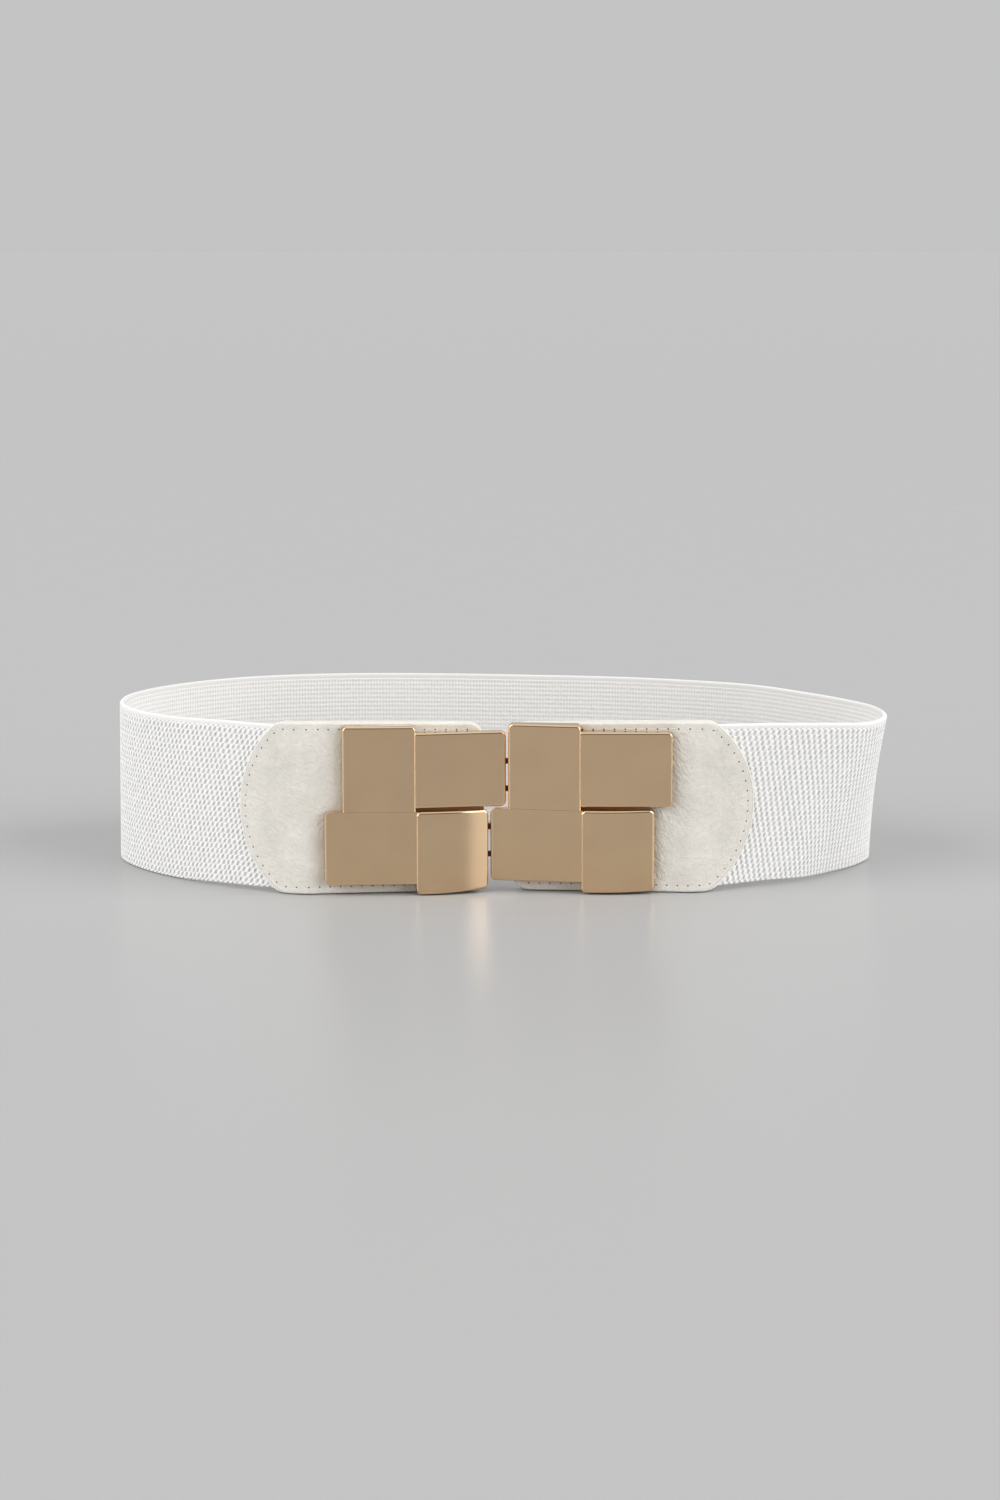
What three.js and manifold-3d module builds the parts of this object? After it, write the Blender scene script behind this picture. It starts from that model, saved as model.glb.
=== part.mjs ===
// Elastic stretch belt, fastened. A strip of stretch webbing is sewn into two leather tabs, and each
// tab carries one half of a cast clasp of woven-look tiles. Two links hold the halves together.
// Millimetres, +Z up, +X along the belt's length. The clasp is at the front, which faces -Y.
import * as THREE from 'three';
import { mergeVertices } from 'three/addons/utils/BufferGeometryUtils.js';
import Module from 'manifold-3d';

const wasm = await Module();
wasm.setup();

// Driving dimensions, millimetres and degrees.
const loop_length = 288.2;
const loop_depth = 140;
const front_shift = -0.6;
const front_proud = 2;

const band_width = 60;
const band_thickness = 2;
const band_edge_round = 0.6;
const band_insertion = 40;

const tab_height = 62.9;
const tab_taper = 1.2;
const left_tab_overhang = 32.4;
const right_tab_overhang = 30.3;
const tab_end_gap = 5.2;
const tab_end_radius = 39;
const tab_shoulder_radius = 8;
const tab_inner_corner = 6;
const tab_notch_depth = 6;
const tab_notch_margin = 2;
const tab_edge_round = 0.4;
const leather_thickness = 1.0;
const pocket_clearance = 0.3;

const left_yaw = 6.5;
const right_yaw = 4.5;
const left_lean = 0;
const right_lean = 1.8;

const tall_tile_width = 26.4;
const upper_tall_height = 31.0;
const lower_tall_height = 30.2;
const wide_tile_width = 32.8;
const upper_wide_height = 27.4;
const lower_wide_height = 26.6;
const row_offset = 6.4;
const half_gap = 0.8;
const row_groove = 1.0;
const casting_depth = 5.0;
const web_depth = 1.8;
const tile_bevel = 0.85;
const seam_bevel = 0.25;
const tile_corner = 1.5;
const left_half_height = 0.3;
const right_half_height = 0.8;
const left_tile_tuck = 1.3;
const right_tile_tuck = 0.3;
const seat_clearance = 0.3;

const rivet_diameter = 3;
const rivet_head_diameter = 7;
const rivet_head_height = 1;
const rivet_spacing = 20;
const rivet_rise = 30;
const rivet_hole_clearance = 0.3;

const link_length = 11;
const link_height = 12;
const link_bar = 2;
const link_thickness = 1.4;
const link_depth = 0.4;
const link_rise = 12;
const link_clearance = 0.7;
const link_pocket_depth = 2.0;
const link_pin_length = 1.4;
const link_pin_diameter = 2;

const gold = { color: 0xc9a27c, roughness: 0.12, metalness: 1 };
const leather = { color: 0xe6e1d6, roughness: 0.55, metalness: 0 };
const webbing = { color: 0xf2f1ef, roughness: 0.85, metalness: 0 };

// Sizes that follow from the driving dimensions.
const row_width = tall_tile_width + wide_tile_width;
const half_width = row_width + row_offset;
const half_pitch = row_width + half_gap;
const seam_height = lower_tall_height;
const half_height_mean = (left_half_height + right_half_height) / 2;
const clasp_reach = (half_width + half_pitch) / 2;
const clasp_cross = (half_width - half_pitch) / 2;
const pocket_thickness = band_thickness + 2 * pocket_clearance;
const tab_thickness = pocket_thickness + 2 * leather_thickness;
const mean_overhang = (left_tab_overhang + right_tab_overhang) / 2;
const band_start = clasp_reach + mean_overhang - band_insertion;
const band_seat = (tab_height - band_width) / 2;

const degrees = Math.PI / 180;
const round_sides = 16;
const cut_length = 4 * tab_thickness;

// The band's route in plan, from the end of the left tab's flat part, round the back, to the end
// of the right tab's flat part. It gives the lower and the upper edge of the band as shares of half
// the loop's length and half its depth, and how high the lower edge runs as a share of band_seat.
const loop_columns = ['lower_x', 'lower_y', 'upper_x', 'upper_y', 'lift'];
const loop_table = [
  [-0.697, -0.860, -0.697, -0.855, 0.8],
  [-0.828, -0.635, -0.831, -0.630, 0.1],
  [-0.923, -0.400, -0.930, -0.412, 0.0],
  [-0.986, -0.150, -0.985, -0.165, 0.0],
  [-1.000, 0.060, -0.993, 0.030, 0.0],
  [-0.983, 0.250, -0.977, 0.225, 0.0],
  [-0.915, 0.490, -0.910, 0.480, 0.0],
  [-0.798, 0.735, -0.792, 0.725, 0.0],
  [-0.650, 0.905, -0.645, 0.900, 0.0],
  [-0.425, 0.995, -0.425, 0.998, 0.0],
  [-0.180, 1.000, -0.180, 0.998, 0.0],
  [0.070, 0.965, 0.070, 0.940, 0.0],
  [0.315, 0.890, 0.315, 0.860, 0.0],
  [0.530, 0.785, 0.525, 0.725, 0.0],
  [0.710, 0.640, 0.685, 0.565, 0.0],
  [0.862, 0.420, 0.812, 0.325, 0.0],
  [0.946, 0.185, 0.914, 0.055, 0.0],
  [0.970, -0.055, 0.979, -0.200, 0.0],
  [0.924, -0.290, 0.992, -0.450, 0.0],
  [0.848, -0.510, 0.935, -0.670, 0.3],
  [0.768, -0.710, 0.803, -0.865, 0.8],
  [0.668, -0.835, 0.688, -0.960, 1.2],
];

// Heights of the front faces of the four tiles, as shares of casting_depth, and how far each one
// is crowned across its width. Where a neighbour covers an edge, the tile runs on beneath it.
const tile_columns = ['left', 'right', 'crown'];
const tile_shares = {
  upper_tall: [0.72, 1.12, 0.04],
  upper_wide: [0.98, 0.56, 0.02],
  lower_wide: [0.68, 1.12, 0.03],
  lower_tall: [1.20, 0.56, 0.26],
};

function row_of(columns, values) {
  return Object.fromEntries(columns.map((name, index) => [name, values[index]]));
}

// Evenly spaced values from one number to another, both included.
function spread(from, to, steps) {
  return Array.from({ length: steps + 1 }, (_, i) => from + ((to - from) * i) / steps);
}

// How far a quarter round of a radius has fallen away, at an inset from its outer end.
function rounding(inset, radius) {
  return inset < radius ? radius - Math.sqrt(radius ** 2 - (radius - inset) ** 2) : 0;
}

// Turns a list of points and triangles into a geometry whose faces point outwards.
function closed_geometry(points, triangles) {
  let volume = 0;
  for (let i = 0; i < triangles.length; i += 3) {
    const [a, b, c] = [points[triangles[i]], points[triangles[i + 1]], points[triangles[i + 2]]];
    volume += a.dot(new THREE.Vector3().crossVectors(b, c));
  }
  const geometry = new THREE.BufferGeometry();
  const positions = points.flatMap((point) => point.toArray());
  geometry.setAttribute('position', new THREE.Float32BufferAttribute(positions, 3));
  geometry.setIndex(volume < 0 ? triangles.reverse() : triangles);
  return geometry;
}

// A closed solid through convex rings of points, each ring with as many points as the next.
function loft(rings) {
  const count = rings[0].length;
  const last = (rings.length - 1) * count;
  const triangles = [];
  for (let ring = 0; ring + 1 < rings.length; ring += 1) {
    for (let j = 0; j < count; j += 1) {
      const a = ring * count + j;
      const b = ring * count + ((j + 1) % count);
      triangles.push(a, b, b + count, a, b + count, a + count);
    }
  }
  for (let j = 1; j + 1 < count; j += 1) {
    triangles.push(0, j + 1, j);
    triangles.push(last, last + j, last + j + 1);
  }
  return closed_geometry(rings.flat(), triangles);
}

function solid_of(geometry) {
  const plain = geometry.clone();
  plain.deleteAttribute('normal');
  plain.deleteAttribute('uv');
  const merged = mergeVertices(plain, 1e-4);
  return new wasm.Manifold(new wasm.Mesh({
    numProp: 3,
    vertProperties: new Float32Array(merged.attributes.position.array),
    triVerts: new Uint32Array(merged.index.array),
  }));
}

function geometry_of(solid) {
  const mesh = solid.getMesh();
  const geometry = new THREE.BufferGeometry();
  geometry.setAttribute('position', new THREE.BufferAttribute(mesh.vertProperties, 3));
  geometry.setIndex(new THREE.BufferAttribute(mesh.triVerts, 1));
  geometry.computeVertexNormals();
  return geometry;
}

function box_solid(low, high) {
  const size = new THREE.Vector3().subVectors(high, low);
  const box = new THREE.BoxGeometry(size.x, size.y, size.z);
  box.translate(low.x + size.x / 2, low.y + size.y / 2, low.z + size.z / 2);
  return solid_of(box);
}

// A round bar along Y, from one depth to another. Depth grows towards the viewer, which is -Y.
function bar_solid(x, z, diameter, from_depth, to_depth) {
  const bar = new THREE.CylinderGeometry(diameter / 2, diameter / 2, to_depth - from_depth, round_sides);
  bar.translate(x, -(from_depth + to_depth) / 2, z);
  return solid_of(bar);
}

// The front: each side has a flat part, turned back by its yaw where the clasp halves meet.
// A side is -1 on the left and 1 on the right.
function lean_of(side) {
  return (side < 0 ? left_lean : right_lean) * degrees;
}

function yaw_of(side) {
  return (side < 0 ? left_yaw : right_yaw) * degrees;
}

// Where the flat parts meet at the middle, in Y, before the belt is centred on its origin.
const mean_yaw = (yaw_of(-1) + yaw_of(1)) / 2;
const flat_meet_y = -loop_depth / 2 + band_thickness / 2 - front_proud + clasp_reach * Math.sin(mean_yaw);

function seat_group(side) {
  const group = new THREE.Group();
  const lean = lean_of(side);
  const edge_drop = (tab_thickness / 2) * Math.sin(lean);
  const lean_back = (tab_height / 2) * Math.tan(lean);
  group.position.set(front_shift, flat_meet_y + lean_back, edge_drop);
  group.rotation.set(lean, 0, -side * yaw_of(side), 'ZXY');
  group.updateMatrix();
  return group;
}

const seats = { left: seat_group(-1), right: seat_group(1) };

function seat_point(side, distance, height) {
  const seat = side < 0 ? seats.left : seats.right;
  return new THREE.Vector3(side * distance, 0, height).applyMatrix4(seat.matrix);
}

// The two edges of the band as curves. Four points of each flat part lie on one line, so the
// curve is straight behind the clasp.
const flat_margin = 1.5;
const flat_run_out = 8;
const flat_distances = [...spread(0, clasp_reach + flat_margin, 3), clasp_reach + flat_run_out];

function edge_points(height, x_name, y_name) {
  const flat = (side) => flat_distances.map((distance) => seat_point(side, distance, height));
  const round = loop_table.map((values) => {
    const row = row_of(loop_columns, values);
    const half_length = loop_length / 2 - band_thickness / 2;
    const half_depth = loop_depth / 2 - band_thickness / 2;
    return new THREE.Vector3(row[x_name] * half_length, row[y_name] * half_depth, row.lift * band_seat);
  });
  return [...flat(-1), ...round, ...flat(1).reverse()];
}

const lower_edge = new THREE.CatmullRomCurve3(edge_points(band_seat, 'lower_x', 'lower_y'));
const upper_edge = new THREE.CatmullRomCurve3(
  edge_points(band_seat + band_width, 'upper_x', 'upper_y'),
);

// The straight line across the band at one place, from its lower to its upper edge.
function ruling_at(share) {
  const low = lower_edge.getPoint(share);
  const across = upper_edge.getPoint(share).sub(low);
  across.z = Math.sqrt(band_width ** 2 - across.x ** 2 - across.y ** 2);
  low.z = Math.max(low.z, 0);
  return { low, up: across.normalize() };
}

function middle_at(share) {
  const { low, up } = ruling_at(share);
  return low.addScaledVector(up, band_width / 2);
}

// Distance along the middle of the band, measured from the middle of the clasp.
const route_steps = 1200;
const route_lengths = [0];
for (let step = 1; step <= route_steps; step += 1) {
  const from = middle_at((step - 1) / route_steps);
  const length = from.distanceTo(middle_at(step / route_steps));
  route_lengths.push(route_lengths[step - 1] + length);
}
const route_length = route_lengths[route_steps];

function share_at(distance) {
  const step = Math.min(Math.max(route_lengths.findIndex((length) => length > distance), 1), route_steps);
  const before = route_lengths[step - 1];
  const part = (distance - before) / (route_lengths[step] - before);
  return (step - 1 + part) / route_steps;
}

// The frame of the band at a distance: its lower edge, the way up it and the way out of it.
function frame_at(distance) {
  const share = share_at(distance);
  const step = 0.5 / route_steps;
  const ahead = middle_at(Math.min(share + step, 1));
  const along = ahead.sub(middle_at(Math.max(share - step, 0)));
  const { low, up } = ruling_at(share);
  return { low, up, out: new THREE.Vector3().crossVectors(up, along).normalize() };
}

// A ring across the belt: a rectangle from one height to another with rounded-off corners.
function belt_ring(distance, from_height, to_height, thickness, round) {
  const { low, up, out } = frame_at(distance);
  const half = thickness / 2;
  const corners = [
    [from_height, -half + round], [from_height + round, -half],
    [to_height - round, -half], [to_height, -half + round],
    [to_height, half - round], [to_height - round, half],
    [from_height + round, half], [from_height, half - round],
  ];
  return corners.map(([height, offset]) => (
    low.clone().addScaledVector(up, height).addScaledVector(out, offset)));
}

// The stretch band.
const band_step = 5;

function band_distances() {
  const length = route_length - 2 * band_start;
  return spread(band_start, route_length - band_start, Math.ceil(length / band_step));
}

function band_geometry() {
  return loft(band_distances().map((distance) => {
    const edge_drop = (band_thickness / 2) * Math.abs(frame_at(distance).out.z);
    return belt_ring(distance, edge_drop, edge_drop + band_width, band_thickness, band_edge_round);
  }));
}

// How long a tab is, from its inner end to the crown of its round end.
function tab_length_of(side) {
  return clasp_reach + (side < 0 ? left_tab_overhang : right_tab_overhang) - tab_end_gap;
}

// A tab's outline: half its height at each run from the inner end. It has a quarter round at the
// inner end, a straight, a shoulder and a wide round end.
function tab_outline(tab_length) {
  const half = tab_height / 2;
  const end_centre_gap = tab_end_radius - tab_shoulder_radius;
  const shoulder_rise = half - tab_shoulder_radius;
  const shoulder_end = tab_length - tab_end_radius + Math.sqrt(end_centre_gap ** 2 - shoulder_rise ** 2);
  const shoulder_turn = Math.acos(shoulder_rise / end_centre_gap);
  const flat_end = clasp_reach + flat_margin - tab_end_gap;
  const crown_turn = 2 * degrees;
  const corner_turns = spread(0, Math.PI / 2, 4);
  const shoulder_turns = spread(0, shoulder_turn, 3);
  const end_turns = spread(Math.PI / 2 - shoulder_turn, crown_turn, 9).slice(1);
  return [
    ...corner_turns.map((turn) => ({
      run: tab_inner_corner * (1 - Math.cos(turn)),
      half: half - tab_inner_corner * (1 - Math.sin(turn)),
    })),
    ...spread(tab_inner_corner, flat_end, 9).slice(1).map((run) => ({ run, half })),
    ...spread(flat_end, shoulder_end, 3).slice(1, -1).map((run) => ({ run, half })),
    ...shoulder_turns.map((turn) => ({
      run: shoulder_end + tab_shoulder_radius * Math.sin(turn),
      half: half - tab_shoulder_radius * (1 - Math.cos(turn)),
    })),
    ...end_turns.map((turn) => ({
      run: tab_length - tab_end_radius * (1 - Math.cos(turn)),
      half: tab_end_radius * Math.sin(turn),
    })),
  ];
}

// Places on a tab count from its own inner end, whichever side it is on.
function route_distance(side, run) {
  const distance = tab_end_gap + run;
  return side < 0 ? distance : route_length - distance;
}

function rivet_places() {
  const places = [];
  for (const across of [-0.5, 0.5]) {
    for (const rise of [-0.5, 0.5]) {
      places.push({
        run: half_width / 2 + across * rivet_spacing,
        height: seam_height + rise * rivet_rise,
      });
    }
  }
  return places;
}

// A tab is a sleeve: two plies closed along the top, the bottom and the inner end, with a pocket
// for the band that is open at the round end, and holes for the rivets.
function tab_geometry(side, half_matrix) {
  const tab_length = tab_length_of(side);
  const middle = band_width / 2;
  const rings = tab_outline(tab_length).map(({ run, half }) => belt_ring(
    route_distance(side, run),
    middle - half,
    middle + half - tab_taper * Math.max(1 - run / clasp_reach, 0),
    tab_thickness,
    tab_edge_round,
  ));
  // Both tabs, and the pocket in each, fold their facets the same way as the band does, so that
  // the band never touches its pocket.
  const in_band_order = (list) => (side < 0 ? list : list.slice().reverse());
  let tab = solid_of(loft(in_band_order(rings)));

  const past_end = tab_end_gap + tab_length + band_step;
  const inside = band_distances().slice(1).filter((distance) => distance < past_end);
  const pocket_rings = [band_start - pocket_clearance, ...inside].map((distance) => belt_ring(
    route_distance(side, distance - tab_end_gap),
    -pocket_clearance,
    band_width + pocket_clearance,
    pocket_thickness,
    pocket_clearance,
  ));
  tab = tab.subtract(solid_of(loft(in_band_order(pocket_rings))));

  // A shallow notch in the hidden inner end leaves room for the links and their pins.
  const notch_height = 2 * (link_rise + tab_notch_margin) + link_height;
  const notch = new THREE.BoxGeometry(2 * (tab_end_gap + tab_notch_depth), cut_length, notch_height);
  notch.translate(0, 0, half_height_mean + seam_height);
  notch.applyMatrix4((side < 0 ? seats.left : seats.right).matrix);
  tab = tab.subtract(solid_of(notch));

  const hole_radius = rivet_diameter / 2 + rivet_hole_clearance;
  for (const { run, height } of rivet_places()) {
    const hole = new THREE.CylinderGeometry(hole_radius, hole_radius, cut_length, round_sides);
    hole.translate(run, 0, height);
    hole.applyMatrix4(half_matrix);
    tab = tab.subtract(solid_of(hole));
  }
  return geometry_of(tab);
}

// The edges of a tile: free ones are rounded over and at their corners, those along a seam are only
// softened, and a neighbour covers the rest.
const free = { bevel: tile_bevel, corner: tile_corner };
const seam = { bevel: seam_bevel, corner: 0 };
const covered = { bevel: 0, corner: 0 };

function reach_of(edge) {
  return Math.max(edge.bevel, edge.corner);
}

// How far in from a side edge the tile needs a row of points, short of where its round ends.
function rim_insets(edge) {
  const reach = reach_of(edge);
  const turns = reach > 0 ? spread(0, Math.PI / 2, 4).slice(0, -1) : [];
  return turns.map((turn) => reach * (1 - Math.cos(turn)));
}

// One tile of a casting: a slab whose front is crowned across its width.
function tile_solid({ left, width, base, height, edges, shares, tuck = 0 }) {
  const share = row_of(tile_columns, shares);
  const right = left + width;
  const columns = [
    ...rim_insets(edges.left).map((inset) => left + inset),
    ...spread(left + reach_of(edges.left), right - reach_of(edges.right), 10),
    ...rim_insets(edges.right).reverse().map((inset) => right - inset),
  ];
  const { bottom, top } = edges;
  const half_turn = 1 - Math.SQRT1_2;

  const rings = columns.map((x) => {
    const across = (x - left) / width;
    const crown = 1 - (2 * across - 1) ** 2;
    const face = casting_depth * (share.left + (share.right - share.left) * across + share.crown * crown);
    const fallen = (size) => Math.max(
      rounding(x - left, edges.left[size]), rounding(right - x, edges.right[size]));
    const front = face - fallen('bevel');
    const low = base + tuck * across ** 2 + (bottom.corner > 0 ? fallen('corner') : 0);
    const high = base + height - (top.corner > 0 ? fallen('corner') : 0);
    const profile = [
      [0, low],
      [front - bottom.bevel, low],
      [front - bottom.bevel * half_turn, low + bottom.bevel * half_turn],
      [front, low + bottom.bevel],
      [front, high - top.bevel],
      [front - top.bevel * half_turn, high - top.bevel * half_turn],
      [front - top.bevel, high],
      [0, high],
    ];
    return profile.map(([depth, z]) => new THREE.Vector3(x, -depth, z));
  });
  return solid_of(loft(rings));
}

const tile_overlap = 0.8;

function tile_layout(side) {
  return [
    {
      left: row_offset,
      width: tall_tile_width,
      base: seam_height,
      height: upper_tall_height,
      edges: { left: free, right: free, bottom: seam, top: free },
      shares: tile_shares.upper_tall,
    },
    {
      left: row_offset + tall_tile_width - tile_overlap,
      width: wide_tile_width + tile_overlap,
      base: seam_height + row_groove,
      height: upper_wide_height,
      edges: { left: covered, right: free, bottom: free, top: free },
      shares: tile_shares.upper_wide,
    },
    {
      left: 0,
      width: wide_tile_width + tile_overlap,
      base: seam_height - lower_wide_height,
      height: lower_wide_height,
      edges: { left: free, right: covered, bottom: free, top: seam },
      shares: tile_shares.lower_wide,
    },
    {
      left: wide_tile_width,
      width: tall_tile_width,
      base: 0,
      height: lower_tall_height,
      edges: { left: free, right: free, bottom: free, top: free },
      shares: tile_shares.lower_tall,
      tuck: side < 0 ? left_tile_tuck : right_tile_tuck,
    },
  ];
}

// Each row of a half meets the other half at its own place: the upper row ends at the right of the
// casting and begins one row_offset in, and the lower row the other way round.
function row_ends() {
  return [
    { left: row_offset, right: half_width, height: seam_height + link_rise },
    { left: 0, right: row_width, height: seam_height - link_rise },
  ];
}

const link_pocket_length = link_length / 2 - half_gap / 2 + link_clearance;
const link_pin_inset = link_length / 2 - link_bar - link_clearance - link_pin_diameter / 2 - half_gap / 2;

// A clasp half: four tiles on one web, rivets through the tab, and at the end that meets the other
// half a pocket with a pin for each link. Side -1 is the left half, whose right end meets.
function clasp_half_geometry(side) {
  let casting = box_solid(
    new THREE.Vector3(row_offset + tile_corner, -web_depth, seam_height - row_offset / 2),
    new THREE.Vector3(row_width - tile_corner, 0, seam_height + row_offset / 2),
  );
  for (const tile of tile_layout(side)) {
    casting = casting.add(tile_solid(tile));
  }
  for (const { left, right, height } of row_ends()) {
    const end = side < 0 ? right : left;
    const inner = end + side * link_pocket_length;
    const outer = end - side * half_gap;
    const half_height = link_height / 2 + link_clearance;
    casting = casting.subtract(box_solid(
      new THREE.Vector3(Math.min(inner, outer), -link_pocket_depth, height - half_height),
      new THREE.Vector3(Math.max(inner, outer), half_gap, height + half_height),
    ));
    const pin_x = end + side * link_pin_inset;
    casting = casting.add(bar_solid(
      pin_x, height, link_pin_diameter, -link_pin_length, link_pocket_depth + seat_clearance));
  }
  const behind_tab = -(2 * seat_clearance + tab_thickness);
  for (const { run, height } of rivet_places()) {
    casting = casting.add(bar_solid(
      run, height, rivet_diameter, behind_tab - rivet_head_height / 2, seat_clearance));
    casting = casting.add(bar_solid(
      run, height, rivet_head_diameter, behind_tab - rivet_head_height, behind_tab));
  }
  return geometry_of(casting);
}

// A clasp half's place on its seat: its back lies one clearance in front of the leather. The two
// halves are turned towards each other, so each moves out to keep the gap at half their depth.
function half_placement(side) {
  const placement = new THREE.Group();
  const back = tab_thickness / 2 + seat_clearance;
  const turned_in = (back + casting_depth / 2) * Math.tan(yaw_of(side));
  const height = side < 0 ? left_half_height : right_half_height;
  placement.position.set((side < 0 ? -clasp_reach : -clasp_cross) + side * turned_in, -back, height);
  placement.updateMatrix();
  return placement;
}

// A link: a plain ring in the back of both halves, seen through the gap between them.
function link_geometry() {
  const half_length = link_length / 2;
  const half_height = link_height / 2;
  const outline = new THREE.Shape();
  outline.moveTo(-half_length, -half_height);
  outline.lineTo(half_length, -half_height);
  outline.lineTo(half_length, half_height);
  outline.lineTo(-half_length, half_height);
  const window = new THREE.Path();
  window.moveTo(-half_length + link_bar, -half_height + link_bar);
  window.lineTo(-half_length + link_bar, half_height - link_bar);
  window.lineTo(half_length - link_bar, half_height - link_bar);
  window.lineTo(half_length - link_bar, -half_height + link_bar);
  outline.holes.push(window);
  const ring = new THREE.ExtrudeGeometry(outline, { depth: link_thickness, bevelEnabled: false });
  ring.translate(0, 0, -link_thickness / 2);
  ring.rotateX(Math.PI / 2);
  return ring;
}

function named_mesh(name, geometry, look) {
  const mesh = new THREE.Mesh(geometry, new THREE.MeshStandardMaterial(look));
  mesh.name = name;
  return mesh;
}

// The assembly.
const belt = new THREE.Group();
belt.add(named_mesh('elastic_band', band_geometry(), webbing));

for (const side of [-1, 1]) {
  const word = side < 0 ? 'left' : 'right';
  const seat = seats[word];
  const placement = half_placement(side);
  placement.add(named_mesh(`clasp_half_${word}`, clasp_half_geometry(side), gold));
  seat.add(placement);
  belt.add(seat);
  const half_matrix = seat.matrix.clone().multiply(placement.matrix);
  belt.add(named_mesh(`leather_tab_${word}`, tab_geometry(side, half_matrix), leather));
}

// Each link sits midway between the backs of the two halves, at its own gap.
for (const [word, side] of [['upper', 1], ['lower', -1]]) {
  const height = half_height_mean + seam_height + side * link_rise;
  const across = (side * row_offset) / 2;
  const behind = seat_point(-1, -across, height).add(seat_point(1, across, height)).multiplyScalar(0.5);
  const link = named_mesh(`clasp_link_${word}`, link_geometry(), gold);
  link.position.copy(behind);
  link.position.y -= tab_thickness / 2 + seat_clearance + link_depth;
  belt.add(link);
}

// The origin is at the centre of the belt's bounding box in plan, on the surface it stands on.
const bounds = new THREE.Box3().setFromObject(belt);
const centre = bounds.getCenter(new THREE.Vector3());
belt.position.set(-centre.x, -centre.y, -bounds.min.z);

export default belt;
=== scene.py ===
"""Looks for the fastened stretch belt: its web, leather tabs, stitches and polished clasp, built
around the CAD frame. Sizes are millimetres, as in the part's source, and turn into metres as each
mesh is made."""

import math

import bmesh
import bpy
import numpy as np
from mathutils import Matrix, Vector, noise


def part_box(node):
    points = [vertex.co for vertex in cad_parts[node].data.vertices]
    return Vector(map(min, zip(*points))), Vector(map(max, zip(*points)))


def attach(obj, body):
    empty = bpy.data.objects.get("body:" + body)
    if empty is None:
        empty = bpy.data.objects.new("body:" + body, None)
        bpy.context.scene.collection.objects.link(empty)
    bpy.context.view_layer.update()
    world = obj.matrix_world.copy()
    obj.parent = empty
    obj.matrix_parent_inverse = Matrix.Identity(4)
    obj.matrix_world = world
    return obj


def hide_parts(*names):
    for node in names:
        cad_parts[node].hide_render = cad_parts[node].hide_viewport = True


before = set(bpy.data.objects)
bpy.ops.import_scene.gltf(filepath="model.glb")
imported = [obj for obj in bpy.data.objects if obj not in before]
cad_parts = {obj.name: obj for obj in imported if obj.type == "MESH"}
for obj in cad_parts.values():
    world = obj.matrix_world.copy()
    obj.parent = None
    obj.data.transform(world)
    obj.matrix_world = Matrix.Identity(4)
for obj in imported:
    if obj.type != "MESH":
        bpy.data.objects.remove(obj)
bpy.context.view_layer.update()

MM = 0.001
DEGREES = math.pi / 180

# The belt's driving sizes, as in the part's source.
LOOP_LENGTH = 288.2
LOOP_DEPTH = 140
FRONT_SHIFT = -0.6
FRONT_PROUD = 2
BAND_WIDTH = 60
BAND_THICKNESS = 2
BAND_EDGE_ROUND = 0.6
BAND_INSERTION = 40
BAND_STEP = 5
TAB_HEIGHT = 62.9
TAB_TAPER = 1.2
TAB_OVERHANG = {"left": 32.4, "right": 30.3}
TAB_END_GAP = 5.2
TAB_END_RADIUS = 39
TAB_SHOULDER_RADIUS = 8
TAB_INNER_CORNER = 6
LEATHER_THICKNESS = 1.0
POCKET_CLEARANCE = 0.3
YAW = {"left": 6.5 * DEGREES, "right": 4.5 * DEGREES}
LEAN = {"left": 0, "right": 1.8 * DEGREES}
TALL_TILE_WIDTH = 26.4
UPPER_TALL_HEIGHT = 31.0
LOWER_TALL_HEIGHT = 30.2
WIDE_TILE_WIDTH = 32.8
UPPER_WIDE_HEIGHT = 27.4
LOWER_WIDE_HEIGHT = 26.6
ROW_OFFSET = 6.4
HALF_GAP = 0.8
ROW_GROOVE = 1.0
CASTING_DEPTH = 5.0
RECESS_DEPTH = 1.8
RECESS_RISE = 3.2
TILE_BEVEL = 0.85
SEAM_BEVEL = 0.1
TILE_CORNER = 1.8
TILE_OVERLAP = 0.8
HALF_HEIGHT = {"left": 0.3, "right": 0.8}
TILE_TUCK = {"left": 1.3, "right": 0.3}
SEAT_CLEARANCE = 0.3
RIVET_DIAMETER = 3
RIVET_HEAD_DIAMETER = 7
RIVET_HEAD_HEIGHT = 1
RIVET_SPACING = 20
RIVET_RISE = 30

ROW_WIDTH = TALL_TILE_WIDTH + WIDE_TILE_WIDTH
HALF_WIDTH = ROW_WIDTH + ROW_OFFSET
HALF_PITCH = ROW_WIDTH + HALF_GAP
CLASP_REACH = (HALF_WIDTH + HALF_PITCH) / 2
CLASP_CROSS = (HALF_WIDTH - HALF_PITCH) / 2
TAB_THICKNESS = BAND_THICKNESS + 2 * POCKET_CLEARANCE + 2 * LEATHER_THICKNESS
BAND_SEAT = (TAB_HEIGHT - BAND_WIDTH) / 2
BAND_START = CLASP_REACH + sum(TAB_OVERHANG.values()) / 2 - BAND_INSERTION
SIDES = {"left": -1, "right": 1}

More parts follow.
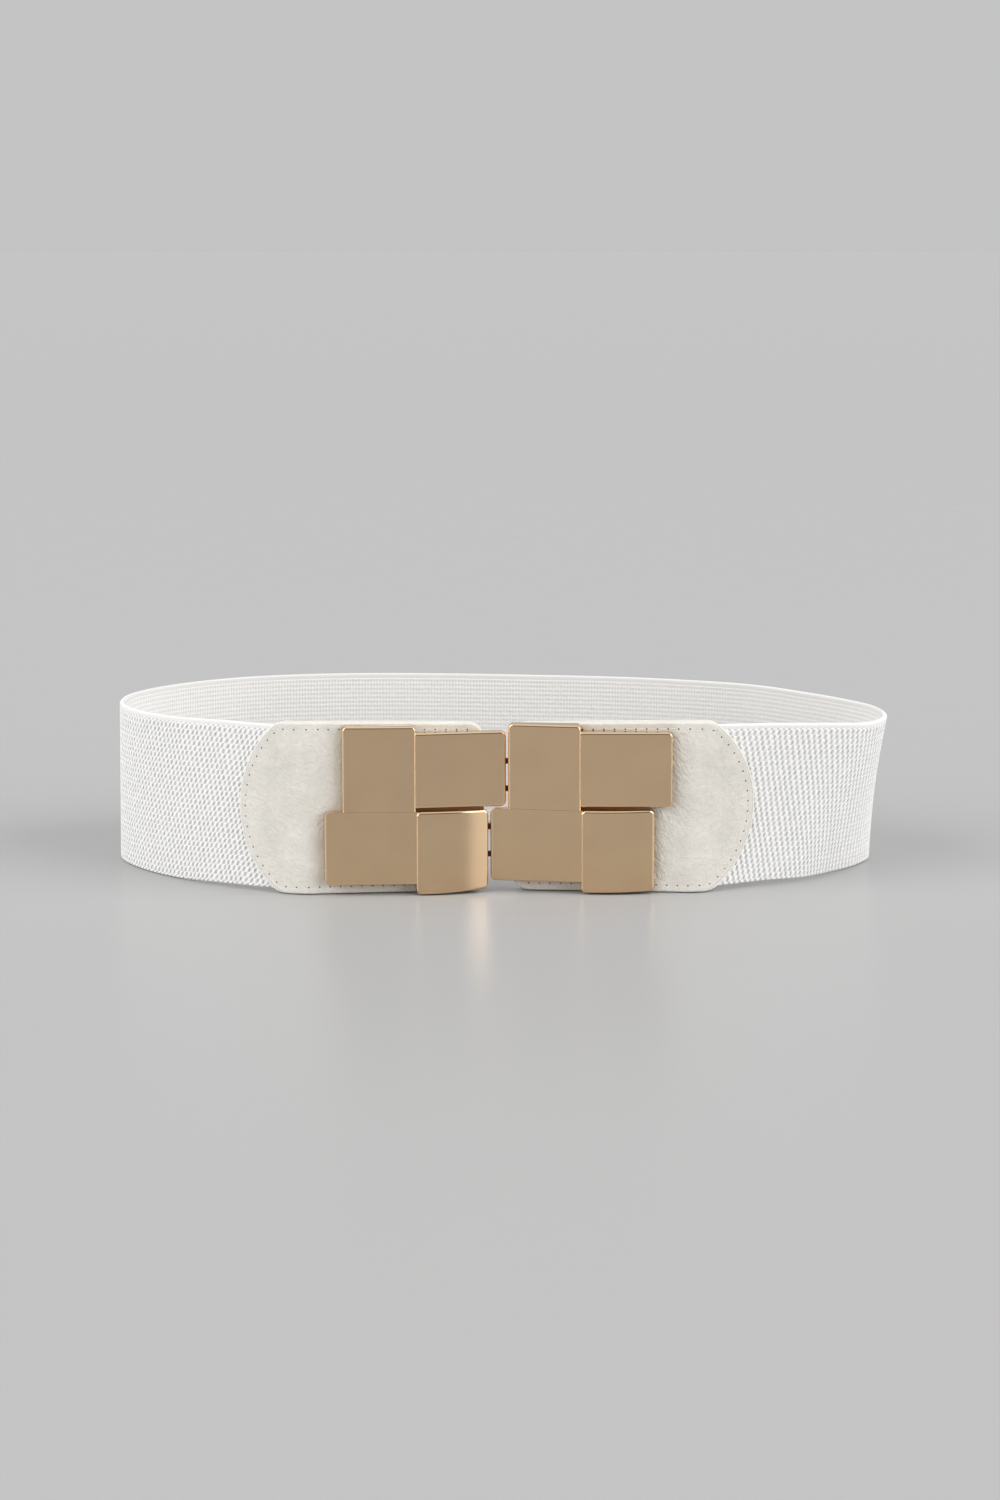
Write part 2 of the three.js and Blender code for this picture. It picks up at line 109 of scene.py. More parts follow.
# The band's route in plan, as in the part's source: lower and upper edge as shares of half the
# loop's length and depth, and the lift of the lower edge as a share of BAND_SEAT.
LOOP_COLUMNS = ("lower_x", "lower_y", "upper_x", "upper_y", "lift")
LOOP_TABLE = (
    (-0.697, -0.860, -0.697, -0.855, 0.8),
    (-0.828, -0.635, -0.831, -0.630, 0.1),
    (-0.923, -0.400, -0.930, -0.412, 0.0),
    (-0.986, -0.150, -0.985, -0.165, 0.0),
    (-1.000, 0.060, -0.993, 0.030, 0.0),
    (-0.983, 0.250, -0.977, 0.225, 0.0),
    (-0.915, 0.490, -0.910, 0.480, 0.0),
    (-0.798, 0.735, -0.792, 0.725, 0.0),
    (-0.650, 0.905, -0.645, 0.900, 0.0),
    (-0.425, 0.995, -0.425, 0.998, 0.0),
    (-0.180, 1.000, -0.180, 0.998, 0.0),
    (0.070, 0.965, 0.070, 0.940, 0.0),
    (0.315, 0.890, 0.315, 0.860, 0.0),
    (0.530, 0.785, 0.525, 0.725, 0.0),
    (0.710, 0.640, 0.685, 0.565, 0.0),
    (0.862, 0.420, 0.812, 0.325, 0.0),
    (0.946, 0.185, 0.914, 0.055, 0.0),
    (0.970, -0.055, 0.979, -0.200, 0.0),
    (0.924, -0.290, 0.992, -0.450, 0.0),
    (0.848, -0.510, 0.935, -0.670, 0.3),
    (0.768, -0.710, 0.803, -0.865, 0.8),
    (0.668, -0.835, 0.688, -0.960, 1.2),
)

# The fronts of the four tiles as shares of CASTING_DEPTH, as in the part's source.
TILE_SHARES = {
    "upper_tall": {"left": 0.72, "right": 1.12, "crown": 0.04},
    "upper_wide": {"left": 0.98, "right": 0.56, "crown": 0.02},
    "lower_wide": {"left": 0.68, "right": 1.12, "crown": 0.03},
    "lower_tall": {"left": 1.20, "right": 0.56, "crown": 0.26},
}


def smooth_step(low, high, value):
    """A smooth step from 0 to 1 as the value goes from low to high."""
    share = np.clip((np.asarray(value, float) - low) / (high - low), 0, 1)
    return share * share * (3 - 2 * share)


def rounding(inset, radius):
    """How far a quarter round of a radius has fallen away, at an inset from its outer end."""
    inside = np.clip(radius - np.asarray(inset, float), 0, radius)
    return radius - np.sqrt(radius**2 - inside**2)


# The route of the belt.
MEAN_YAW = (YAW["left"] + YAW["right"]) / 2
FLAT_MEET_Y = -LOOP_DEPTH / 2 + BAND_THICKNESS / 2 - FRONT_PROUD + CLASP_REACH * math.sin(MEAN_YAW)
FLAT_MARGIN = 1.5
FLAT_RUN_OUT = 8
FLAT_SPANS = 3
FLAT_DISTANCES = (
    *np.linspace(0, CLASP_REACH + FLAT_MARGIN, FLAT_SPANS + 1), CLASP_REACH + FLAT_RUN_OUT)


def seat_matrix(word):
    """The seat of one tab and its casting: turned and leaned about the place where the two meet."""
    lean = LEAN[word]
    edge_drop = TAB_THICKNESS / 2 * math.sin(lean)
    lean_back = TAB_HEIGHT / 2 * math.tan(lean)
    place = Matrix.Translation((FRONT_SHIFT, FLAT_MEET_Y + lean_back, edge_drop))
    turn = Matrix.Rotation(-SIDES[word] * YAW[word], 4, "Z") @ Matrix.Rotation(lean, 4, "X")
    return place @ turn


def edge_points(height, x_name, y_name):
    """The points that one edge of the web passes, from the left seat round the back to the right."""
    def flat(word):
        seat = seat_matrix(word)
        return [seat @ Vector((SIDES[word] * d, 0, height)) for d in FLAT_DISTANCES]

    half_length = LOOP_LENGTH / 2 - BAND_THICKNESS / 2
    half_depth = LOOP_DEPTH / 2 - BAND_THICKNESS / 2
    round_part = []
    for values in LOOP_TABLE:
        row = dict(zip(LOOP_COLUMNS, values))
        round_part.append((row[x_name] * half_length, row[y_name] * half_depth, row["lift"] * BAND_SEAT))
    return np.array([*flat("left"), *round_part, *reversed(flat("right"))], float)


def curve_through(points, shares):
    """Points on the centripetal Catmull-Rom curve through some points, at shares of its spans."""
    spans = len(points) - 1
    padded = np.vstack([2 * points[0] - points[1], points, 2 * points[-1] - points[-2]])
    place = shares * spans
    span = np.minimum(place.astype(int), spans - 1)
    w = (place - span)[:, None]
    p0, p1, p2, p3 = (padded[span + k] for k in range(4))
    d0, d1, d2 = (
        np.sqrt(np.linalg.norm(b - a, axis=1))[:, None] for a, b in ((p0, p1), (p1, p2), (p2, p3)))
    t1 = ((p1 - p0) / d0 - (p2 - p0) / (d0 + d1) + (p2 - p1) / d1) * d1
    t2 = ((p2 - p1) / d1 - (p3 - p1) / (d1 + d2) + (p3 - p2) / d2) * d1
    return p1 + t1 * w + (3 * (p2 - p1) - 2 * t1 - t2) * w**2 + (2 * (p1 - p2) + t1 + t2) * w**3


# The belt's lower edge, its way up and its way out, at many places along its length.
ROUTE_STEPS = 3000
route_shares = np.linspace(0, 1, ROUTE_STEPS + 1)
route_low = curve_through(edge_points(BAND_SEAT, "lower_x", "lower_y"), route_shares)
route_up = curve_through(edge_points(BAND_SEAT + BAND_WIDTH, "upper_x", "upper_y"), route_shares)
route_up = route_up - route_low
route_up[:, 2] = np.sqrt(BAND_WIDTH**2 - route_up[:, 0] ** 2 - route_up[:, 1] ** 2)
route_up /= np.linalg.norm(route_up, axis=1)[:, None]
route_low[:, 2] = np.maximum(route_low[:, 2], 0)
route_middle = route_low + route_up * BAND_WIDTH / 2
route_gaps = np.linalg.norm(np.diff(route_middle, axis=0), axis=1)
route_distances = np.concatenate([[0], np.cumsum(route_gaps)])
ROUTE_LENGTH = float(route_distances[-1])
route_out = np.cross(route_up, np.gradient(route_middle, axis=0))
route_out /= np.linalg.norm(route_out, axis=1)[:, None]


def on_route(table, distance):
    """The values of one of the route's tables at distances along the belt."""
    return np.stack([np.interp(distance, route_distances, table[:, k]) for k in range(3)], -1)


def belt_points(distance, height, offset):
    """Points at distances along the belt, heights up its width and offsets out of its middle."""
    distance, height, offset = np.broadcast_arrays(distance, height, offset)
    low, up, out = (on_route(table, distance) for table in (route_low, route_up, route_out))
    return low + up * height[..., None] + out * offset[..., None]


def lean_lift(distance):
    """How far the web is lifted at distances along the belt, where its lean would sink an edge."""
    return BAND_THICKNESS / 2 * np.abs(on_route(route_out, distance)[:, 2])


def own_low_corner():
    """The lowest values of the CAD web's points before the belt was centred on its origin."""
    count = math.ceil((ROUTE_LENGTH - 2 * BAND_START) / BAND_STEP) + 1
    rings = np.linspace(BAND_START, ROUTE_LENGTH - BAND_START, count)
    heights = np.array([0, BAND_EDGE_ROUND, BAND_WIDTH - BAND_EDGE_ROUND, BAND_WIDTH])
    insets = np.array([BAND_EDGE_ROUND, 0, 0, BAND_EDGE_ROUND])
    lifted = lean_lift(rings)[:, None] + heights
    faces = [
        belt_points(rings[:, None], lifted, face * (BAND_THICKNESS / 2 - insets)).reshape(-1, 3)
        for face in (-1, 1)]
    return np.concatenate(faces).min(0)


SHIFT = np.array(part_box("elastic_band")[0] / MM) - own_low_corner()


# Meshes.
WELD_REACH = 0.01 * MM
SHORTEST_EDGE = 0.001 * MM


def new_object(name, points, faces, materials, slots=None, marks=None):
    """A mesh object from points in millimetres. Its marks are values on its points, which the
    materials read."""
    mesh = bpy.data.meshes.new(name)
    mesh.from_pydata((np.asarray(points) * MM).tolist(), [], faces)
    for material in materials:
        mesh.materials.append(material)
    if slots is not None:
        mesh.polygons.foreach_set("material_index", slots)
    for label, values in (marks or {}).items():
        values = np.asarray(values, np.float32)
        kind, key = ("FLOAT_VECTOR", "vector") if values.ndim == 2 else ("FLOAT", "value")
        mesh.attributes.new(label, kind, "POINT").data.foreach_set(key, values.ravel())
    mesh.update()
    mesh.shade_smooth()
    thing = bpy.data.objects.new(name, mesh)
    bpy.context.scene.collection.objects.link(thing)
    return thing


def ring_faces(rings, sides):
    """Quads between neighbouring rings of points, each ring closed on itself."""
    faces = []
    for ring in range(rings - 1):
        for side in range(sides):
            a = ring * sides + side
            b = ring * sides + (side + 1) % sides
            faces.append((a, b, b + sides, a + sides))
    return faces


def closed_faces(rings, sides):
    """The faces of a closed solid of rings, with a lid on its first ring and its last."""
    last = range((rings - 1) * sides, rings * sides)
    return [*ring_faces(rings, sides), tuple(range(sides)), tuple(reversed(last))]


def joined(pieces):
    """The points and faces of several small meshes as those of one."""
    points, faces = [], []
    for piece_points, piece_faces in pieces:
        start = len(points)
        points.extend(piece_points)
        faces.extend(tuple(i + start for i in face) for face in piece_faces)
    return points, faces


def edit_mesh(thing, *changes):
    """Makes some changes, each a function, to an object's mesh."""
    shape = bmesh.new()
    shape.from_mesh(thing.data)
    for change in changes:
        change(shape)
    shape.to_mesh(thing.data)
    shape.free()


def weld(shape):
    """Joins points that lie in one place, as along a tab's axis."""
    bmesh.ops.remove_doubles(shape, verts=shape.verts, dist=WELD_REACH)
    bmesh.ops.dissolve_degenerate(shape, edges=shape.edges, dist=SHORTEST_EDGE)


def turn_out(shape):
    """Turns every closed shell so that its faces point outwards."""
    bmesh.ops.recalc_face_normals(shape, faces=shape.faces)


# Materials.
class Nodes:
    """A node tree, with short words for the few nodes that the looks are made of."""

    def __init__(self, owner, shader="Principled BSDF"):
        owner.use_nodes = True
        self.owner = owner
        self.tree = owner.node_tree
        self.shader = self.tree.nodes[shader]

    def link(self, value, socket):
        if isinstance(value, bpy.types.NodeSocket):
            self.tree.links.new(value, socket)
        else:
            socket.default_value = value

    def add(self, kind, output=0, **inputs):
        node = self.tree.nodes.new(kind)
        for key, value in inputs.items():
            if key in node.inputs:
                self.link(value, node.inputs[key])
            else:
                setattr(node, key, value)
        return node.outputs[output]

    def math(self, operation, *values):
        node = self.tree.nodes.new("ShaderNodeMath")
        node.operation = operation
        for socket, value in zip(node.inputs, values):
            self.link(value, socket)
        return node.outputs[0]

    def times(self, a, b):
        return self.math("MULTIPLY", a, b)

    def plus(self, a, b):
        return self.math("ADD", a, b)

    def minus(self, a, b):
        return self.math("SUBTRACT", a, b)

    def total(self, *parts):
        """The sum of some values, each times its weight."""
        (value, weight), *others = parts
        whole = self.times(value, weight)
        for value, weight in others:
            whole = self.plus(whole, self.times(value, weight))
        return whole

    def wave(self, value, rate):
        return self.math("COSINE", self.times(value, rate))

    def object_place(self):
        return self.add("ShaderNodeTexCoord", "Object")

    def vector_mark(self, name):
        return self.add("ShaderNodeAttribute", "Vector", attribute_name=name)

    def mark(self, name):
        return self.add("ShaderNodeAttribute", "Fac", attribute_name=name)

    def parts(self, vector):
        node = self.tree.nodes.new("ShaderNodeSeparateXYZ")
        self.link(vector, node.inputs[0])
        return node.outputs

    def scaled(self, vector, factors):
        node = self.tree.nodes.new("ShaderNodeVectorMath")
        node.operation = "MULTIPLY"
        self.link(vector, node.inputs[0])
        node.inputs[1].default_value = factors
        return node.outputs[0]

    def noise(self, vector, scale=1.0, detail=2.0, roughness=0.5):
        """Noise at a scale, which may be one number or one for each axis."""
        if isinstance(scale, tuple):
            vector = self.scaled(vector, scale)
            scale = 1.0
        return self.add(
            "ShaderNodeTexNoise", "Fac", Vector=vector, Scale=scale, Detail=detail, Roughness=roughness)

    def step(self, value, low, high, to_low=0.0, to_high=1.0):
        """A smooth step from to_low to to_high as the value goes from low to high."""
        node = self.tree.nodes.new("ShaderNodeMapRange")
        node.interpolation_type = "SMOOTHSTEP"
        self.link(value, node.inputs["Value"])
        ends = {"From Min": low, "From Max": high, "To Min": to_low, "To Max": to_high}
        for name, end in ends.items():
            node.inputs[name].default_value = end
        return node.outputs[0]

    def mix(self, share, a, b):
        node = self.tree.nodes.new("ShaderNodeMix")
        node.data_type = "RGBA"
        self.link(share, node.inputs["Factor"])
        colour_inputs = [s for s in node.inputs if s.type == "RGBA"]
        for socket, value in zip(colour_inputs, (a, b)):
            self.link(value, socket)
        return [s for s in node.outputs if s.type == "RGBA"][0]

    def bump(self, height, distance, strength):
        """A normal from a height of 0 to 1 that stands for a distance in metres."""
        node = self.tree.nodes.new("ShaderNodeBump")
        self.link(height, node.inputs["Height"])
        node.inputs["Distance"].default_value = distance
        node.inputs["Strength"].default_value = strength
        return node.outputs[0]

    def set(self, **inputs):
        for name, value in inputs.items():
            self.link(value, self.shader.inputs[name.replace("_", " ")])
        return self.owner


def material_nodes(name):
    return Nodes(bpy.data.materials.new(name))


# Where most values of a noise lie.
NOISE_SPAN = (0.3, 0.7)

# The knit: columns of upright slots outside, level ribs inside, and a plain selvage at each edge.
KNIT_PITCH = 2.25
KNIT_ROW = 1.95
KNIT_SLANT = -0.36
KNIT_DEPTH = 0.28
SLOT_EDGES = (-0.4, 1.0)
SLOT_STRETCH = 0.45
RIB_PITCH = 1.7
RIB_STITCH = 1.2
TOP_SELVAGE = 2.2
TOP_SELVAGE_START = 1.54
LOW_SELVAGE = 0.35
LOW_SELVAGE_START = 0.14

# The webbing's finish: how far it strays from an even knit, its surface as heights from 0 to 1, and
# its colours, darker where the surface lies deep as painted shade in the slots, rib hollows and
# selvage; the inner face's colours are set darker than the outer's as painted shade inside the loop.
JITTER_SCALES = (0.8, 0.9, 0)
STITCH_JITTER = 0.12
COURSE_JITTER = 0.15
SLOT_DEPTHS = (0.8, 1.0)
SLOT_DEPTH_SCALES = (0.5, 0.5, 0)
RIB_LEVEL = 0.72
RIB_WAVE = 0.08
RIB_STITCH_WAVE = 0.05
RIB_JITTER = 0.25
# The selvage's level also sets its colour: at both edges a grey that is painted shade, toning down the
# brightly lit top edge.
SELVAGE_LEVEL = 0.5
FIBRE_SCALES = (5.0, 2.2, 5.0)
FIBRE_SPAN = (0.2, 0.8)
FIBRE_RELIEF = 0.16
FIBRE_SHADE = 0.25
FACE_CHANGE = 0.2
WEB_RELIEF = 0.6 * MM
WEB_ROUGHNESS = (0.80, 0.92)
OUTER_DARK = (0.60, 0.60, 0.60, 1)
OUTER_LIGHT = (0.97, 0.96, 0.945, 1)
OUTER_SPAN = (0.0, 0.75)
INNER_DARK = (0.74, 0.725, 0.71, 1)
INNER_LIGHT = (0.865, 0.85, 0.835, 1)
INNER_SPAN = (0.45, 0.9)


def web_material():
    """Stretch webbing: rows of upright slots outside, fine ribs inside, plain at its edges, with painted
    shade in its hollows.
    """
    n = material_nodes("web_knit")
    place = n.vector_mark("place")
    along, up, out = n.parts(place)
    jitter = n.minus(n.noise(place, JITTER_SCALES), 0.5)
    stitch = n.plus(n.mark("stitch"), n.times(jitter, STITCH_JITTER))
    course = n.plus(n.mark("course"), n.times(jitter, COURSE_JITTER))
    up_wave = n.wave(course, math.pi)
    reach = n.math("SQRT", n.math("MULTIPLY_ADD", up_wave, up_wave, SLOT_STRETCH))
    lattice = n.times(n.wave(stitch, 2 * math.pi), n.math("DIVIDE", up_wave, reach))
    depth = n.step(n.noise(place, SLOT_DEPTH_SCALES), *NOISE_SPAN, *SLOT_DEPTHS)
    knit = n.minus(1.0, n.times(n.step(lattice, *SLOT_EDGES), depth))
    rib_wave = n.wave(up, 2 * math.pi / RIB_PITCH)
    stitch_wave = n.wave(along, 2 * math.pi / RIB_STITCH)
    waves = n.total((rib_wave, RIB_WAVE), (stitch_wave, RIB_STITCH_WAVE), (jitter, RIB_JITTER))
    ribs = n.plus(waves, RIB_LEVEL)
    outside = n.step(out, -FACE_CHANGE, FACE_CHANGE)
    relief = n.total((knit, outside), (ribs, n.minus(1.0, outside)))
    from_top = n.minus(float(BAND_WIDTH), up)
    body = n.times(
        n.step(from_top, TOP_SELVAGE_START, TOP_SELVAGE), n.step(up, LOW_SELVAGE_START, LOW_SELVAGE))
    relief = n.total((relief, body), (n.minus(1.0, body), SELVAGE_LEVEL))
    fibre = n.noise(place, FIBRE_SCALES, detail=3.0, roughness=0.6)
    height = n.math("MULTIPLY_ADD", fibre, FIBRE_RELIEF, relief)
    shade = n.math("MULTIPLY_ADD", n.minus(fibre, 0.5), FIBRE_SHADE, relief)
    # Painted shade: the colours darken where the surface lies deep, in the slots, rib hollows and
    # selvage.
    outer = n.mix(n.step(shade, *OUTER_SPAN), OUTER_DARK, OUTER_LIGHT)
    inner = n.mix(n.step(shade, *INNER_SPAN), INNER_DARK, INNER_LIGHT)
    return n.set(
        Base_Color=n.mix(outside, inner, outer),
        Roughness=n.step(fibre, *FIBRE_SPAN, *WEB_ROUGHNESS),
        Sheen_Weight=0.1,
        Normal=n.bump(height, WEB_RELIEF, strength=0.9))


# The leather's finish: its colours, with a dark for mottling and painted shade and a near black for
# the painted contact shadow along its lower edge, then the scales of its grain, mottling, folds and
# hatching.
LEATHER_COLOUR = (0.825, 0.79, 0.725, 1)
LEATHER_DARK = (0.56, 0.545, 0.495, 1)
LEATHER_EDGE = (0.93, 0.92, 0.86, 1)
LEATHER_CONTACT_SHADOW = (0.13, 0.13, 0.11, 1)
LEATHER_ROUGHNESS = (0.38, 0.52)
LEATHER_RELIEF = 0.24 * MM
PORE_SCALE = 3.4
SOFT_SCALE = 0.62
MOTTLE_SCALE = 0.10
MOTTLE_SPAN = (0.25, 0.75)
MOTTLE = (0.6, 1.0)
WANDER_SCALE = 0.22
FOLD_SLANT = 60 * DEGREES
FOLD_SCALES = (0.17, 0.52)
HATCH_SLANT = 38 * DEGREES
HATCH_SCALES = (0.60, 1.3)
LINE_BEND = 1.2
WRINKLE_WIDTH = 0.09
PIT_SPAN = (1.08, 0.72)
PIT_HATCH = 0.9

# How much each kind of mark stands out of the leather, and how much each one darkens it as painted
# shade: in the grain's pits, along the wrinkles, and where the shade mark is set.
LEATHER_HEIGHTS = {"hatch": 0.8, "pores": 0.4, "soft": 1.2, "wrinkles": 0.8}
LEATHER_SHADES = {"pits": 0.28, "wrinkles": 0.12, "shade": 0.6}


def leather_material():
    """Cream leather: fine pebbled grain, wrinkles beside the clasp, painted shade that darkens its folds
    and seams, and a painted contact shadow along its lower edge.
    """
    n = material_nodes("cream_leather")
    place = n.vector_mark("place")
    fold = n.mark("fold")
    run, rise, _ = n.parts(place)
    pores = n.noise(place, PORE_SCALE, detail=3.0, roughness=0.6)
    wander = n.noise(place, WANDER_SCALE)

    def leaning(slant, scales):
        """The place measured along and across lines that slant down from the clasp."""
        along_scale, across_scale = scales
        along = n.total((run, math.cos(slant)), (rise, -math.sin(slant)))
        across = n.total((run, math.sin(slant)), (rise, math.cos(slant)))
        bent = n.math("MULTIPLY_ADD", wander, LINE_BEND, n.times(across, across_scale))
        return n.add("ShaderNodeCombineXYZ", X=n.times(along, along_scale), Y=bent)

    hatch = n.noise(leaning(-HATCH_SLANT, HATCH_SCALES), detail=3.0, roughness=0.55)
    ridges = n.noise(leaning(FOLD_SLANT, FOLD_SCALES), roughness=0.45)
    wrinkles = n.step(n.math("ABSOLUTE", n.minus(ridges, 0.5)), 0.0, WRINKLE_WIDTH)
    soft = n.noise(place, SOFT_SCALE, detail=3.0, roughness=0.6)
    mottle = n.noise(place, MOTTLE_SCALE, detail=3.0, roughness=0.55)
    heights = {"hatch": hatch, "pores": pores, "soft": soft, "wrinkles": n.times(wrinkles, fold)}
    height = n.total(*((value, LEATHER_HEIGHTS[name]) for name, value in heights.items()))
    colour = n.mix(n.step(mottle, *MOTTLE_SPAN, *MOTTLE), LEATHER_DARK, LEATHER_COLOUR)
    shades = {
        "pits": n.step(n.plus(soft, n.times(hatch, PIT_HATCH)), *PIT_SPAN),
        "wrinkles": n.times(n.minus(1.0, wrinkles), fold),
        "shade": n.mark("shade"),
    }
    # Painted shade: darker in the grain's pits, along the wrinkle lines, at the bead's seam, beside the
    # casting and in its folds.
    for name, share in shades.items():
        colour = n.mix(n.times(share, LEATHER_SHADES[name]), colour, LEATHER_DARK)
    colour = n.mix(n.mark("rim"), colour, LEATHER_EDGE)
    # Painted contact shadow along the tab's lower edge, where it stands on the floor.
    colour = n.mix(n.mark("contact_shadow"), colour, LEATHER_CONTACT_SHADOW)
    return n.set(
        Base_Color=colour,
        Roughness=n.step(pores, *NOISE_SPAN, *LEATHER_ROUGHNESS),
        Specular_IOR_Level=0.5,
        Normal=n.bump(height, LEATHER_RELIEF, strength=0.9))


# How far the specks of a plain finish change its colour, its roughness and its surface.
SPECK_DARK = 0.86
SPECK_ROUGHNESS = (0.85, 1.15)
SPECK_RELIEF = 0.02 * MM


def plain_material(name, colour, roughness, metallic=0.0, grain=0.0, scale=3000.0):
    """A plain finish with a fine procedural variation in its colour, gloss and surface."""
    n = material_nodes(name)
    speck = n.noise(n.object_place(), scale, detail=3.0)
    darker = tuple(c * SPECK_DARK for c in colour[:3]) + (1,)
    return n.set(
        Base_Color=n.mix(n.step(speck, *NOISE_SPAN), darker, colour),
        Roughness=n.step(speck, *NOISE_SPAN, *(roughness * share for share in SPECK_ROUGHNESS)),
        Metallic=metallic,
        Normal=n.bump(speck, SPECK_RELIEF, grain))


GOLD_DEEP = (0.755, 0.545, 0.343, 1)
GOLD_PALE = (0.79, 0.572, 0.36, 1)
GOLD_ROUGHNESS = (0.09, 0.13)
HAZE_SCALE = 90.0
POLISH_SCALE = (1500.0, 1500.0, 9000.0)
POLISH_RELIEF = 0.004 * MM


def gold_material():
    """Polished light gold plate, with faint haze and hairline polish marks."""
    n = material_nodes("polished_gold")
    coords = n.object_place()
    haze = n.noise(coords, HAZE_SCALE, detail=3.0)
    return n.set(
        Base_Color=n.mix(n.step(haze, *NOISE_SPAN), GOLD_DEEP, GOLD_PALE),
        Metallic=1.0,
        Roughness=n.step(haze, *NOISE_SPAN, *GOLD_ROUGHNESS),
        Normal=n.bump(n.noise(coords, POLISH_SCALE), POLISH_RELIEF, strength=0.25))


FLOOR_TONE = 0.449
FLOOR_ROUGHNESS = (0.255, 0.265)
FLOOR_SPECK = 60.0


def floor_material():
    """A pale grey floor with a little gloss."""
    n = material_nodes("studio_floor")
    speck = n.noise(n.object_place(), FLOOR_SPECK)
    return n.set(
        Base_Color=(FLOOR_TONE, FLOOR_TONE, FLOOR_TONE, 1),
        Roughness=n.step(speck, *NOISE_SPAN, *FLOOR_ROUGHNESS),
        Specular_IOR_Level=0.03)


web_look = web_material()
leather_look = leather_material()
gold_look = gold_material()
thread_look = plain_material("cream_thread", (0.78, 0.75, 0.69, 1), 0.7, grain=0.6, scale=5000.0)
# The needle holes' near black is painted shade: a flat lens stands in for each hole's dark depth.
hole_look = plain_material("needle_hole", (0.060, 0.050, 0.042, 1), 0.9, grain=0.3)
# The recess's dark brown gold is painted shade in the groove between the rows of tiles.
recess_look = plain_material("shaded_recess", (0.32, 0.19, 0.11, 1), 0.45, metallic=1.0, grain=0.2)
# The links' dark colour is painted shade, as they are seen only deep in the gap between the halves;
# their red tint is the metal's own.
link_look = plain_material("shaded_link_brass", (0.13, 0.028, 0.022, 1), 0.35, metallic=1.0, grain=0.2)


def own(piece, slot, *nodes):
    """Attaches a piece to the belt's root body, so that it rides with it, and hides the nodes of the
    frame that it may stand for.
    """
    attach(piece, "root")
    if nodes:
        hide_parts(*nodes)


# The stretch web.
WEB_COLUMN = KNIT_PITCH / 4
WEB_ROWS = 72
WEB_CORNER_POINTS = 4
INNER_EDGE = 1.6
INNER_MARGIN = 5
INNER_ROWS = 6
SCALLOP = 0.16
SCALLOP_REACH = 1.2
KNIT_START = 0.8
ROW_WANDER = 0.5

# Slow waves that the knit strays by: each one's size, its rates along and up the web, and its start.
WANDERS = ((0.24, 0.11, 0.07, 0.0), (0.14, 0.37, -0.21, 1.3), (0.09, 0.93, 0.63, 2.1))


def web_section():
    """The web's section as (height, offset) points, round from its lower outer edge."""
    half = BAND_THICKNESS / 2
    corner = [
        (BAND_EDGE_ROUND * (1 - math.cos(t)), half - BAND_EDGE_ROUND * (1 - math.sin(t)))
        for t in np.linspace(0, math.pi / 2, WEB_CORNER_POINTS)]
    far_corner = [(BAND_WIDTH - h, o) for h, o in reversed(corner)]
    outer_heights = np.linspace(0, BAND_WIDTH, WEB_ROWS + 1)[2:-2]
    middle_heights = np.linspace(INNER_MARGIN, BAND_WIDTH - INNER_MARGIN, INNER_ROWS)
    inner_heights = (INNER_EDGE, *middle_heights, BAND_WIDTH - INNER_EDGE)
    outer = corner + [(h, half) for h in outer_heights] + far_corner
    inner = corner + [(h, half) for h in inner_heights] + far_corner
    return np.array(outer + [(h, -o) for h, o in reversed(inner)])


def knit_places(distance, height):
    """Where a point of the web lies in its knit: counted in stitches along and in rows up."""
    wander = 0
    for size, along, up, start in WANDERS:
        wander = wander + size * np.sin(along * distance + up * height + start)
    stitch = (distance - KNIT_SLANT * height + wander) / KNIT_PITCH
    return stitch, (height + ROW_WANDER * wander) / KNIT_ROW


def knit_slots(stitch, course):
    """How deep a point lies in the slots of the knit, from 0 on the strands to 1."""
    up_wave = np.cos(math.pi * course)
    lattice = np.cos(2 * math.pi * stitch) * up_wave / np.sqrt(up_wave**2 + SLOT_STRETCH)
    return smooth_step(*SLOT_EDGES, lattice)


def make_web():
    section = web_section()
    length = ROUTE_LENGTH - 2 * BAND_START
    count = int(length / WEB_COLUMN) + 1
    distance = np.linspace(BAND_START, ROUTE_LENGTH - BAND_START, count)[:, None]
    heights = np.broadcast_to(section[:, 0], (count, len(section)))
    offsets = np.broadcast_to(section[:, 1], (count, len(section)))
    wave = SCALLOP * (0.5 + 0.5 * np.cos(2 * math.pi * distance / KNIT_PITCH))
    near_edge = 1 - smooth_step(0, SCALLOP_REACH, heights)
    lift = lean_lift(distance[:, 0])[:, None]
    stitch, course = knit_places(distance, heights)
    knitted = smooth_step(0, KNIT_START, heights) * smooth_step(0, TOP_SELVAGE, BAND_WIDTH - heights)
    sunk = KNIT_DEPTH * knit_slots(stitch, course) * knitted * (offsets > 0)
    points = belt_points(distance, heights + wave * near_edge + lift, offsets - sunk) + SHIFT
    places = np.stack(np.broadcast_arrays(distance, heights, offsets), -1)
    web = new_object(
        "elastic_web", points.reshape(-1, 3), closed_faces(*points.shape[:2]), [web_look],
        marks={"place": places.reshape(-1, 3), "stitch": stitch.ravel(), "course": course.ravel()})
    edit_mesh(web, turn_out)
    own(web, "webbing", "elastic_band")


make_web()


